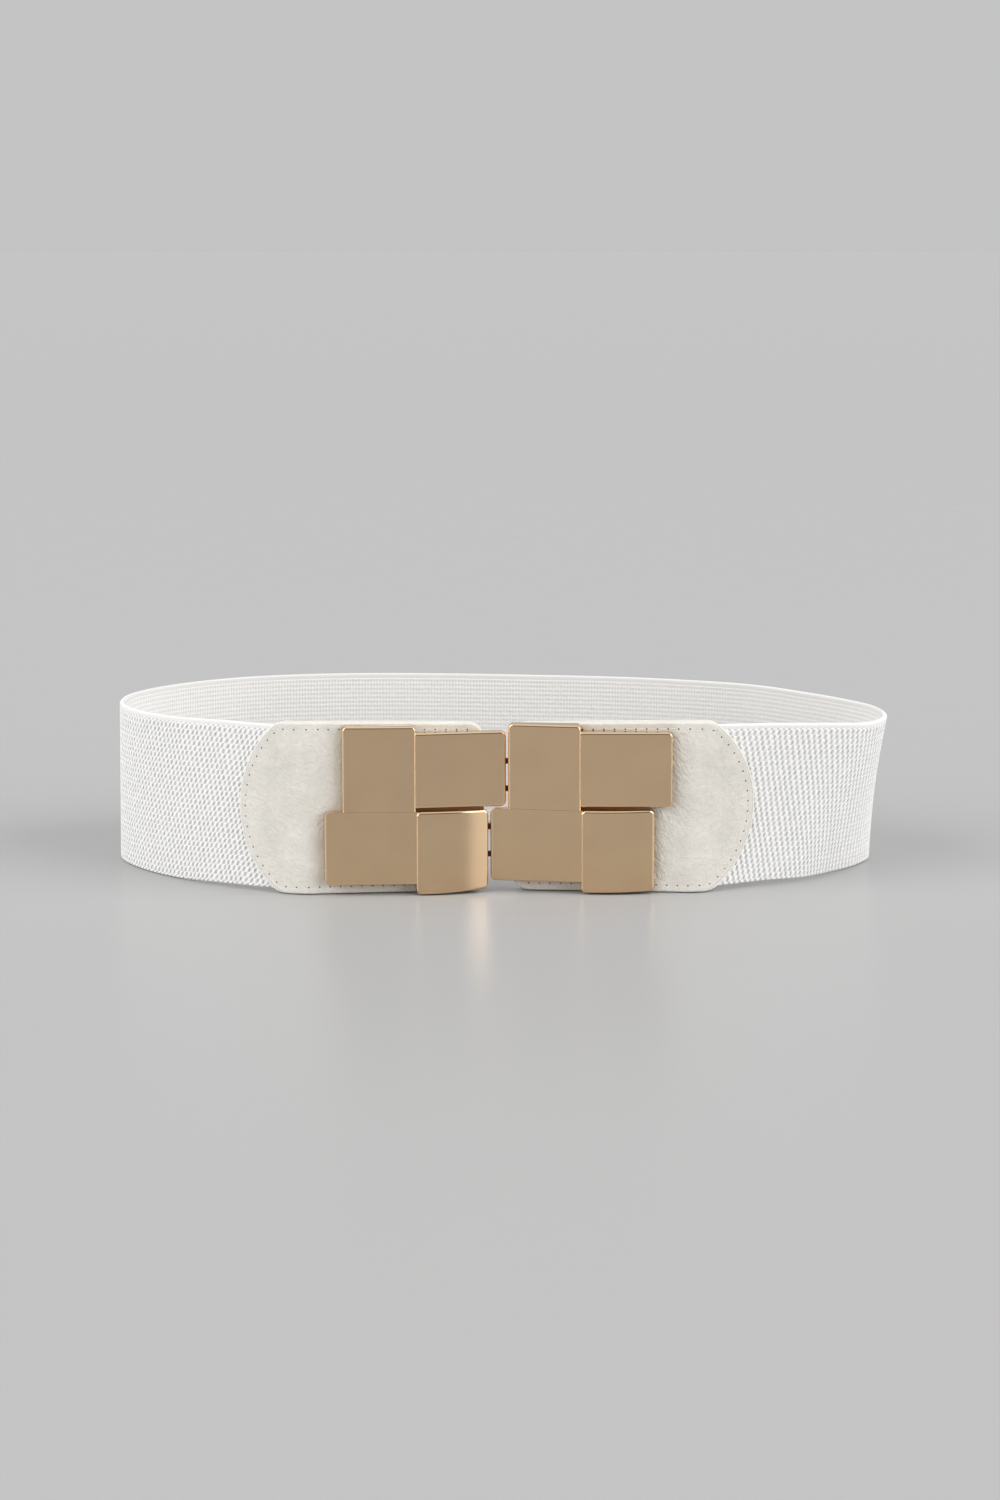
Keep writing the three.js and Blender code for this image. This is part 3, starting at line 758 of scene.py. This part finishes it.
# The clasp halves. Each edge of a tile has its own rim: rounded where it is free, nearly sharp at a
# seam between two tiles, and none where another tile covers it.
FREE = {"bevel": TILE_BEVEL, "corner": TILE_CORNER}
SEAM = {"bevel": SEAM_BEVEL, "corner": 0.0}
SEAM_WITH_CORNER = {"bevel": SEAM_BEVEL, "corner": TILE_CORNER}
COVERED = {"bevel": 0.0, "corner": 0.0}
RIM_STEPS = 8
RIM_DECIMALS = 5
FACE_STEPS = 24
FACE_ROWS = (0.004, 0.25, 0.5, 0.75, 0.996)
RIM_SUPPORT = 0.12
SHARP_ANGLE = 50 * DEGREES
RIVET_SIDES = 32
DOME_POINTS = 9
DOME_RIM = 0.25
DOME_TIP = 0.02
QUARTER_TURNS = np.linspace(0, math.pi / 2, RIM_STEPS + 1)


def half_matrix(word):
    """Where a clasp half sits: its seat, then its place on the seat, as in the part's source."""
    back = TAB_THICKNESS / 2 + SEAT_CLEARANCE
    turned_in = (back + CASTING_DEPTH / 2) * math.tan(YAW[word])
    start = -CLASP_REACH if word == "left" else -CLASP_CROSS
    place = Matrix.Translation((start + SIDES[word] * turned_in, -back, HALF_HEIGHT[word]))
    return Matrix.Translation(SHIFT.tolist()) @ seat_matrix(word) @ place


def rim_places(edge):
    """Insets of the rows of points over a tile's rounded rim, and one just past it."""
    reach_in = max(edge["bevel"], edge["corner"])
    if reach_in == 0:
        return [0.0]
    places = set()
    for radius in (edge["bevel"], edge["corner"]):
        places |= set(np.round(radius * (1 - np.cos(QUARTER_TURNS)), RIM_DECIMALS))
    return sorted(places) + [reach_in + RIM_SUPPORT]


def tile_mesh(name, left, width, base, height, rims, tuck=0.0):
    """One tile: a slab with a crowned front and rounded rims, as rings of points across it."""
    left_rim, right_rim, bottom_rim, top_rim = rims
    shares = TILE_SHARES[name]
    right = left + width
    left_places = [left + p for p in rim_places(left_rim)]
    right_places = [right - p for p in reversed(rim_places(right_rim))]
    middle = np.linspace(left_places[-1], right_places[0], FACE_STEPS + 1)[1:-1]
    x = np.array([*left_places, *middle, *right_places])
    across = (x - left) / width
    crown = 1 - (2 * across - 1) ** 2
    face = CASTING_DEPTH * (
        shares["left"] + (shares["right"] - shares["left"]) * across + shares["crown"] * crown)

    def fallen(size):
        return np.maximum(rounding(x - left, left_rim[size]), rounding(right - x, right_rim[size]))

    front = face - fallen("bevel")
    low = base + tuck * across**2 + (fallen("corner") if bottom_rim["corner"] else 0)
    high = base + height - (fallen("corner") if top_rim["corner"] else 0)
    bottom, top = bottom_rim["bevel"], top_rim["bevel"]
    face_low, face_high = low + bottom, high - top
    back = np.zeros_like(x)
    profile = [(back, low), (front / 2, low)]
    profile += [
        (front - bottom * (1 - math.sin(t)), low + bottom * (1 - math.cos(t))) for t in QUARTER_TURNS]
    profile += [(front, face_low + (face_high - face_low) * share) for share in FACE_ROWS]
    profile += [
        (front - top * (1 - math.cos(t)), high - top * (1 - math.sin(t))) for t in QUARTER_TURNS]
    profile += [(front / 2, high), (back, high)]
    rings = np.stack([np.stack(np.broadcast_arrays(x, -depth, z), -1) for depth, z in profile], 1)
    return rings.reshape(-1, 3), closed_faces(*rings.shape[:2])


def tile_meshes(word):
    """The four tiles of a half, each with its rims at the left, right, bottom and top."""
    wide = WIDE_TILE_WIDTH + TILE_OVERLAP
    return [
        tile_mesh("upper_tall", ROW_OFFSET, TALL_TILE_WIDTH, LOWER_TALL_HEIGHT, UPPER_TALL_HEIGHT,
                  (FREE, FREE, SEAM, FREE)),
        tile_mesh("upper_wide", ROW_OFFSET + TALL_TILE_WIDTH - TILE_OVERLAP, wide,
                  LOWER_TALL_HEIGHT + ROW_GROOVE, UPPER_WIDE_HEIGHT, (COVERED, FREE, FREE, FREE)),
        tile_mesh("lower_wide", 0.0, wide, LOWER_TALL_HEIGHT - LOWER_WIDE_HEIGHT, LOWER_WIDE_HEIGHT,
                  (FREE, COVERED, FREE, SEAM_WITH_CORNER)),
        tile_mesh("lower_tall", WIDE_TILE_WIDTH, TALL_TILE_WIDTH, 0.0, LOWER_TALL_HEIGHT,
                  (FREE, FREE, FREE, FREE), tuck=TILE_TUCK[word]),
    ]


def recess_mesh():
    """The casting's floor in the groove between its two rows of tiles: a plain box, dark as painted
    shade.
    """
    runs = (ROW_OFFSET + TILE_CORNER, ROW_WIDTH - TILE_CORNER)
    heights = (LOWER_TALL_HEIGHT - RECESS_RISE, LOWER_TALL_HEIGHT + RECESS_RISE)
    points = np.array([(x, y, z) for x in runs for y in (-RECESS_DEPTH, 0) for z in heights])
    faces = [(0, 1, 3, 2), (4, 6, 7, 5), (0, 4, 5, 1), (2, 3, 7, 6), (0, 2, 6, 4), (1, 5, 7, 3)]
    return points, faces


def rivet_places():
    """The (run, height) places of a half's four rivets."""
    return [
        (HALF_WIDTH / 2 + across * RIVET_SPACING, LOWER_TALL_HEIGHT + rise * RIVET_RISE)
        for across in (-0.5, 0.5) for rise in (-0.5, 0.5)]


def rivet_mesh(x, z):
    """A rivet on an axis along Y, from its domed head behind the tab to its post at the casting."""
    behind = -(2 * SEAT_CLEARANCE + TAB_THICKNESS)
    post, head = RIVET_DIAMETER / 2, RIVET_HEAD_DIAMETER / 2
    profile = [
        (head * math.sin(t), behind - DOME_RIM - (RIVET_HEAD_HEIGHT - DOME_RIM) * math.cos(t))
        for t in np.linspace(DOME_TIP, math.pi / 2, DOME_POINTS)]
    profile += [(head, behind), (post, behind), (post, SEAT_CLEARANCE)]
    turns = np.linspace(0, 2 * math.pi, RIVET_SIDES, endpoint=False)
    rings = []
    for radius, depth in profile:
        ring = (x + radius * np.cos(turns), np.full(RIVET_SIDES, -depth), z + radius * np.sin(turns))
        rings.append(np.stack(ring, -1))
    return np.concatenate(rings), closed_faces(len(rings), RIVET_SIDES)


def make_half(word):
    polished = [*tile_meshes(word), *(rivet_mesh(x, z) for x, z in rivet_places())]
    recess = recess_mesh()
    points, faces = joined([*polished, recess])
    slots = [0] * sum(len(piece_faces) for _, piece_faces in polished) + [1] * len(recess[1])
    matrix = half_matrix(word)
    placed = [matrix @ Vector(p) for p in points]
    half = new_object(f"cast_half_{word}", placed, faces, [gold_look, recess_look], slots=slots)
    edit_mesh(half, turn_out)
    half.data.set_sharp_from_angle(angle=SHARP_ANGLE)
    own(half, "gold", f"clasp_half_{word}")


for word in SIDES:
    make_half(word)

# The links get the dark brass that paints their shade in the gap.
for level in ("upper", "lower"):
    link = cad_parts[f"clasp_link_{level}"]
    link.data.materials.clear()
    link.data.materials.append(link_look)


# The leather tabs: each is a front ply and a back ply, stitched together round the web. Round the
# open end a ply's outer layer stops short, and the edge of the layer below it shows as a bead. The
# rows of points of a ply run from its edge to an axis, a level line along the tab's middle.
STITCH_INSET = 2.7
STITCH_GROOVE = 0.05
GROOVE_REACH = 0.45
BEAD_WIDTH = 0.9
BEAD_DROP = 0.30
PLY_ROUND = 0.4
TAB_EDGE_ROUND = 1.0
PLY_GAP = 0.03
HEM_INSET = 1.25
MEET_INSET = 1.1
OUTLINE_STEP = 0.6
SHORTEST_ARC = 3
NEAR_INSETS = (
    0, 0.1, 0.2, 0.32, 0.45, 0.58, 0.7, 0.8, 0.9, 0.96, 1.04, 1.15, 1.3, 1.6, 1.9, 2.2, 2.5, 2.7, 2.9,
    3.2)
DEEP_STEPS = 44
BACK_DEEP_STEPS = 14
LINING_STEPS = 10
AXIS_START = 18.0
AXIS_PAST_CENTRE = 8.0

# Beside its casting the front ply is pressed down and wrinkled.
FAR_FROM_CLASP = 1000.0
PRESSED_DEPTH = 0.25
PRESSED_REACH = 3.0
PRESSED_INSETS = (0.5, 2.5)
FOLD_START = 1.0
FOLD_REACH = {"left": 7.0, "right": 10.0}
FOLD_DEPTH = {"left": 0.20, "right": 0.42}
FOLD_STRENGTH = {"left": 0.55, "right": 1.0}
FOLD_MARGIN = 2
FOLD_WAVES = {"along": 0.08, "across": 0.44, "layer": 11.0}
FOLD_BENDS = {"along": 0.05, "across": 0.06, "layer": 3.0, "size": 1.5}

# The leather's colour marks, as shares: painted shade at the bead's seam, beside the casting and in
# the folds, a painted contact shadow where the tab stands on its edge, and light on the bead.
SEAM_SHADE = 1.8
SEAM_REACH = 0.14
CLASP_SHADE = 0.03
FOLD_SHADE = 0.10
FOOT_SHADOW = 0.9
FOOT_FACING = (0.8, 0.98)
FOOT_INSETS = (0.15, 0.5)
BEAD_LIGHT = 0.8
BEAD_LIGHT_MARGIN = 0.15


def tab_length(word):
    """How far a tab runs from its inner end to the tip of its round end."""
    return CLASP_REACH + TAB_OVERHANG[word] - TAB_END_GAP


def tab_outline(word, step):
    """The tab's outline as (run, rise) points, closed, with how much of the round end each one is."""
    half = TAB_HEIGHT / 2
    shoulder_rise = half - TAB_SHOULDER_RADIUS
    centre_gap = TAB_END_RADIUS - TAB_SHOULDER_RADIUS
    centre = tab_length(word) - TAB_END_RADIUS
    shoulder = centre + math.sqrt(centre_gap**2 - shoulder_rise**2)
    turn = math.acos(shoulder_rise / centre_gap)

    def line(start, end):
        steps = max(int(math.dist(start, end) / step), 1)
        return [tuple(np.add(start, np.subtract(end, start) * i / steps)) for i in range(steps)]

    def arc(cx, cy, radius, from_turn, to_turn):
        steps = max(int(abs(to_turn - from_turn) * radius / step), SHORTEST_ARC)
        turns = from_turn + (to_turn - from_turn) * np.arange(steps) / steps
        return [(cx + radius * math.cos(t), cy + radius * math.sin(t)) for t in turns]

    down, up = -math.pi / 2, math.pi / 2
    corner = TAB_INNER_CORNER
    runs = (
        (line((corner, -half), (shoulder, -half)), 0, 0),
        (arc(shoulder, -shoulder_rise, TAB_SHOULDER_RADIUS, down, down + turn), 0, 1),
        (arc(centre, 0, TAB_END_RADIUS, down + turn, up - turn), 1, 1),
        (arc(shoulder, shoulder_rise, TAB_SHOULDER_RADIUS, up - turn, up), 1, 0),
        (line((shoulder, half), (corner, half)), 0, 0),
        (arc(corner, half - corner, corner, up, math.pi), 0, 0),
        (line((0, half - corner), (0, -half + corner)), 0, 0),
        (arc(corner, -half + corner, corner, math.pi, 1.5 * math.pi), 0, 0),
    )
    points, round_end = [], []
    for part, from_share, to_share in runs:
        points += part
        round_end += [from_share + (to_share - from_share) * i / len(part) for i in range(len(part))]
    return np.array(points), np.array(round_end)


def inward_normals(points):
    """The unit ways inward from the points of a closed outline."""
    tangent = np.roll(points, -1, 0) - np.roll(points, 1, 0)
    tangent /= np.linalg.norm(tangent, axis=1)[:, None]
    return np.stack([-tangent[:, 1], tangent[:, 0]], -1)


def tab_points(word, run, rise, offset):
    """Points on a tab, by run from its inner end, rise from the web's middle, and offset."""
    taper = TAB_TAPER * np.clip(1 - run / CLASP_REACH, 0, 1) * np.clip(rise / (TAB_HEIGHT / 2), 0, 1)
    distance = TAB_END_GAP + run
    if word == "right":
        distance = ROUTE_LENGTH - distance
    return belt_points(distance, BAND_WIDTH / 2 + rise - taper, offset) + SHIFT


def casting_clearance(word, front, run, rise):
    """Distance from a point on a tab's face to the outline of the casting on it."""
    if not front:
        return np.full(run.shape, FAR_FROM_CLASP)
    x = run + TAB_END_GAP
    along = CLASP_REACH - x if word == "left" else x + CLASP_CROSS
    height = rise + BAND_WIDTH / 2 + BAND_SEAT - HALF_HEIGHT[word]
    rows = (
        (ROW_OFFSET, HALF_WIDTH, LOWER_TALL_HEIGHT, LOWER_TALL_HEIGHT + UPPER_TALL_HEIGHT),
        (0, ROW_WIDTH, LOWER_TALL_HEIGHT - LOWER_WIDE_HEIGHT, LOWER_TALL_HEIGHT),
    )
    gaps = []
    for x_low, x_high, z_low, z_high in rows:
        gap_x = np.maximum(np.maximum(x_low - along, along - x_high), 0)
        gap_z = np.maximum(np.maximum(z_low - height, height - z_high), 0)
        gaps.append(np.hypot(gap_x, gap_z))
    return np.minimum(*gaps)


def fold_fade(word, clearance):
    """How strongly the leather is wrinkled at a distance from the casting."""
    return FOLD_STRENGTH[word] * (1 - smooth_step(FOLD_START, FOLD_REACH[word], clearance))


def fold_relief(run, rise, fade):
    """Broad folds that slant away from the casting, from 0 to 1 at their deepest."""
    relief = np.zeros(run.shape)
    waves, bends = FOLD_WAVES, FOLD_BENDS
    for index in zip(*np.nonzero(fade > 0)):
        r, h = float(run[index]), float(rise[index])
        along = r * math.cos(FOLD_SLANT) - h * math.sin(FOLD_SLANT)
        across = r * math.sin(FOLD_SLANT) + h * math.cos(FOLD_SLANT)
        bend_place = Vector((along * bends["along"], across * bends["across"], bends["layer"]))
        bend = noise.noise(bend_place) * bends["size"]
        place = Vector((along * waves["along"], across * waves["across"] + bend, waves["layer"]))
        relief[index] = 0.5 + 0.5 * noise.noise(place)
    return relief * fade


def outer_offset(inset, round_end, clearance, folds):
    """How far a tab's surface stands out, by its inset from the tab's edge."""
    half = TAB_THICKNESS / 2
    side = half - rounding(inset, TAB_EDGE_ROUND)
    from_bead_edge = np.minimum(inset, np.maximum(BEAD_WIDTH - inset, 0))
    bead = half - BEAD_DROP - rounding(from_bead_edge, PLY_ROUND)
    ply = half - rounding(inset - BEAD_WIDTH, PLY_ROUND)
    end = np.where(inset < BEAD_WIDTH, bead, ply)
    surface = side * (1 - round_end) + end * round_end
    groove = STITCH_GROOVE * np.exp(-(((inset - STITCH_INSET) / GROOVE_REACH) ** 2))
    pressed = PRESSED_DEPTH * (1 - smooth_step(0, PRESSED_REACH, clearance))
    return surface - groove - folds - pressed * smooth_step(*PRESSED_INSETS, inset)


def outer_rows(word, outline, inward, steps):
    """The rows of points of a ply's outer face, from its edge to the tab's axis, with the insets of
    their points and the points of the axis."""
    axis_end = tab_length(word) - TAB_END_RADIUS + AXIS_PAST_CENTRE
    axis_run = np.clip(outline[:, 0], AXIS_START, axis_end)
    axis = np.stack([axis_run, np.zeros(len(outline))], -1)
    near = [outline + inward * inset for inset in NEAR_INSETS]
    base = near[-1]
    deep = [base + (axis - base) * (i / steps) for i in range(1, steps + 1)]
    insets = [np.full(len(outline), inset) for inset in NEAR_INSETS]
    insets += [NEAR_INSETS[-1] + np.linalg.norm(row - base, axis=1) for row in deep]
    return np.array(near + deep), np.array(insets), axis


def lining_rows(outline, inward, axis, round_end):
    """The rows of points of a ply's hidden inner face, from the tab's axis to its edge, with their
    offsets. The plies nearly meet at the edge, but stay open round the end, where the web leaves."""
    pocket = np.full(len(outline), TAB_THICKNESS / 2 - LEATHER_THICKNESS)
    meet = PLY_GAP * (1 - round_end) + pocket * round_end
    hem = outline + inward * HEM_INSET
    rows = [axis + (hem - axis) * share for share in np.linspace(0, 1, LINING_STEPS + 1)]
    offsets = [pocket] * len(rows) + [meet, meet]
    rows += [outline + inward * MEET_INSET, outline]
    return np.array(rows), np.array(offsets)


def leather_marks(inset, ends, inward, clearance, fade):
    """The marks on a ply's outer face, each a share from 0 to 1: painted shade, a painted contact
    shadow, the light on the bead and the folds.
    """
    seam = SEAM_SHADE * ends * np.exp(-(((inset - BEAD_WIDTH) / SEAM_REACH) ** 2))
    beside = CLASP_SHADE * (1 - smooth_step(0, PRESSED_REACH, clearance)) + FOLD_SHADE * fade
    # Painted contact shadow: near black along the edge where the tab stands on the floor.
    foot = smooth_step(*FOOT_FACING, inward[:, 1]) * (1 - smooth_step(*FOOT_INSETS, inset))
    on_bead = np.where(inset < BEAD_WIDTH - BEAD_LIGHT_MARGIN, ends, 0)
    return {
        "fold": fade,
        "shade": np.clip(beside + seam, 0, 1),
        "rim": BEAD_LIGHT * on_bead,
        "contact_shadow": FOOT_SHADOW * foot,
    }


def make_ply(word, front):
    outline, round_end = tab_outline(word, OUTLINE_STEP)
    inward = inward_normals(outline)
    steps = DEEP_STEPS if front else BACK_DEEP_STEPS
    outer_plan, inset, axis = outer_rows(word, outline, inward, steps)
    lining_plan, lining = lining_rows(outline, inward, axis, round_end)
    ends = np.broadcast_to(round_end, inset.shape)
    run, rise = outer_plan[..., 0], outer_plan[..., 1]
    clearance = casting_clearance(word, front, run, rise)
    fade = fold_fade(word, clearance) * smooth_step(STITCH_INSET, STITCH_INSET + FOLD_MARGIN, inset)
    surface = outer_offset(inset, ends, clearance, FOLD_DEPTH[word] * fold_relief(run, rise, fade))

    plan = np.concatenate([lining_plan, outer_plan])
    offset = np.concatenate([lining, surface]) * (1 if front else -1)
    points = tab_points(word, plan[..., 0], plan[..., 1], offset)
    places = np.stack([plan[..., 0], plan[..., 1], offset], -1)
    marks = {"place": places.reshape(-1, 3)}
    for name, values in leather_marks(inset, ends, inward, clearance, fade).items():
        hidden = np.full(lining.shape, BEAD_LIGHT if name == "rim" else 0.0)
        marks[name] = np.concatenate([hidden, values]).ravel()
    ply = new_object(
        f"leather_{'front' if front else 'back'}_{word}", points.reshape(-1, 3),
        ring_faces(*points.shape[:2]), [leather_look], marks=marks)
    edit_mesh(ply, weld, turn_out)
    own(ply, "leather", f"leather_tab_{word}")


for word in SIDES:
    for front in (True, False):
        make_ply(word, front)


# The stitches: one thread from each needle hole to the next, round each face of each tab.
STITCH_PITCH = 3.85
STITCH_ROW_STEP = 0.3
THREAD_RADIUS = 0.2
THREAD_PROUD = -0.05
THREAD_SIDES = 8
THREAD_RINGS = 7
THREAD_SINK = 0.9
THREAD_TIP = 0.25
THREAD_WIDE = 1.15
THREAD_FLAT = 0.8
HOLE_RADIUS = 0.33
HOLE_SIDES = 10

# A needle hole's (height, share of its radius), from below the leather's surface to just above it.
HOLE_PROFILE = ((-0.10, 0.6), (0.0, 1.0), (0.035, 0.6))


def ring_points(centre, across, up, width, height, sides):
    """Points round an ellipse, from its middle, its two ways and its two half widths."""
    turns = (2 * math.pi * k / sides for k in range(sides))
    return [centre + across * (width * math.cos(t)) + up * (height * math.sin(t)) for t in turns]


def thread_mesh(start, end, side, out):
    """A short thread from start to end: thicker in its middle, sunk at both ends."""
    points = []
    for i in range(THREAD_RINGS):
        share = i / (THREAD_RINGS - 1)
        arch = math.sqrt(math.sin(math.pi * share)) if 0 < share < 1 else 0.0
        sunk = THREAD_RADIUS * THREAD_SINK * (1 - arch)
        size = THREAD_RADIUS * max(arch, THREAD_TIP)
        middle = start + (end - start) * share - out * sunk
        points += ring_points(middle, side, out, size * THREAD_WIDE, size * THREAD_FLAT, THREAD_SIDES)
    return points, closed_faces(THREAD_RINGS, THREAD_SIDES)


def hole_mesh(centre, side, along, out):
    """A small dark needle hole: a flat lens that lies in the leather, its dark colour painted shade for
    the hole's depth.
    """
    points = []
    for height, share in HOLE_PROFILE:
        reach = HOLE_RADIUS * share
        points += ring_points(centre + out * height, side, along, reach, reach, HOLE_SIDES)
    return points, closed_faces(len(HOLE_PROFILE), HOLE_SIDES)


def make_stitches(word, front):
    outline, _ = tab_outline(word, STITCH_ROW_STEP)
    row = outline + inward_normals(outline) * STITCH_INSET
    closed = np.vstack([row, row[:1]])
    lengths = np.concatenate([[0], np.cumsum(np.linalg.norm(np.diff(closed, axis=0), axis=1))])
    count = round(lengths[-1] / STITCH_PITCH)
    pitch = lengths[-1] / count
    facing = 1 if front else -1

    def on_row(distance):
        distance = distance % lengths[-1]
        return np.array([np.interp(distance, lengths, closed[:, k]) for k in range(2)])

    def lifted(plan, proud):
        """A place over the leather, at a height above its surface on the stitch line."""
        run, rise = np.array([plan[0]]), np.array([plan[1]])
        clearance = casting_clearance(word, front, run, rise)
        surface = outer_offset(np.array([STITCH_INSET]), 0.0, clearance, 0.0)
        return tab_points(word, run, rise, facing * (surface + proud))[0]

    threads, holes = [], []
    for i in range(count):
        here, ahead = on_row(i * pitch), on_row((i + 1) * pitch)
        tangent = ahead - here
        tangent /= np.linalg.norm(tangent)
        centre = lifted(here, 0.0)
        out = lifted(here, 1.0) - centre
        along = lifted(here + tangent, 0.0) - centre
        along /= np.linalg.norm(along)
        side = np.cross(out, along)
        start = lifted(here + tangent * HOLE_RADIUS, THREAD_PROUD)
        end = lifted(ahead - tangent * HOLE_RADIUS, THREAD_PROUD)
        threads.append(thread_mesh(start, end, side, out))
        holes.append(hole_mesh(centre, side, along, out))
    face_word = "front" if front else "back"
    for label, meshes, look in (("stitches", threads, thread_look), ("needle_holes", holes, hole_look)):
        piece = new_object(f"{label}_{face_word}_{word}", *joined(meshes), [look])
        edit_mesh(piece, turn_out)
        own(piece, "leather")


for word in SIDES:
    for front in (True, False):
        make_stitches(word, front)


# The studio: a wide pale floor and soft light.
FLOOR_REACH = 8000
FLOOR_DROP = 0.02
SUN_SPREAD = 60 * DEGREES
SUNS = {
    "key": {"towards": (-0.88, -0.52, 0.50), "strength": 1.95},
    "fill": {"towards": (0.96, -0.42, 0.42), "strength": 2.35},
}

# The tone of the world by direction. The band is what the clasp's polished front reflects.
STUDIO_TONE = 0.552
SHADED_BAND = 0.75
BAND_FOOT = (0.02, 0.08)
BAND_TOP = (0.66, 0.50)
BAND_FRONT = (-0.3, -0.7)
CEILING_GAIN = 0.8
CEILING_EDGE = (0.70, 0.85)


def make_floor():
    ways = ((-1, -1), (1, -1), (1, 1), (-1, 1))
    corners = [(x * FLOOR_REACH, y * FLOOR_REACH, -FLOOR_DROP) for x, y in ways]
    floor = new_object("floor", corners, [(0, 1, 2, 3)], [floor_material()])


def soft_sun(name, towards, strength):
    """A wide even light from one direction, given as the way to it."""
    data = bpy.data.lights.new(name, "SUN")
    data.energy = strength
    data.angle = SUN_SPREAD
    light = bpy.data.objects.new(name, data)
    light.rotation_euler = Vector(towards).to_track_quat("Z", "Y").to_euler()
    bpy.context.scene.collection.objects.link(light)


def make_world():
    """An even grey studio with a bright ceiling, dim above the floor where it faces the clasp."""
    world = bpy.data.worlds.new("studio")
    bpy.context.scene.world = world
    n = Nodes(world, "Background")
    _, y, z = n.parts(n.add("ShaderNodeTexCoord", "Generated"))
    level = n.times(n.step(z, *BAND_FOOT), n.step(z, *BAND_TOP))
    dim = n.times(n.times(level, n.step(y, *BAND_FRONT)), SHADED_BAND)
    gain = n.times(n.step(z, *CEILING_EDGE), CEILING_GAIN)
    tone = n.times(n.minus(n.plus(1.0, gain), dim), STUDIO_TONE)
    n.set(Color=n.add("ShaderNodeCombineXYZ", X=tone, Y=tone, Z=tone))


make_floor()
make_world()
for name, sun in SUNS.items():
    soft_sun(name, **sun)


# The camera, at the photograph's angle: a 1000 by 1500 frame, its long side 36 mm of sensor.
FOCAL_PIXELS = 3700
FRAME_LONG = 1500
SENSOR = 36
CAMERA_REACH = 1400
CAMERA_ELEVATION = 9.3 * DEGREES
AIM_HEIGHT = 40.55


def make_camera():
    data = bpy.data.cameras.new("camera")
    data.sensor_fit = "VERTICAL"
    data.sensor_height = SENSOR
    data.lens = SENSOR * FOCAL_PIXELS / FRAME_LONG
    camera = bpy.data.objects.new("camera", data)
    aim = Vector((0, 0, AIM_HEIGHT)) + Vector(SHIFT.tolist())
    back = Vector((0, -math.cos(CAMERA_ELEVATION), math.sin(CAMERA_ELEVATION)))
    camera.location = (aim + back * CAMERA_REACH) * MM
    camera.rotation_euler = (math.pi / 2 - CAMERA_ELEVATION, 0, 0)
    bpy.context.scene.collection.objects.link(camera)
    bpy.context.scene.camera = camera


make_camera()
bpy.context.scene.view_settings.view_transform = "Standard"
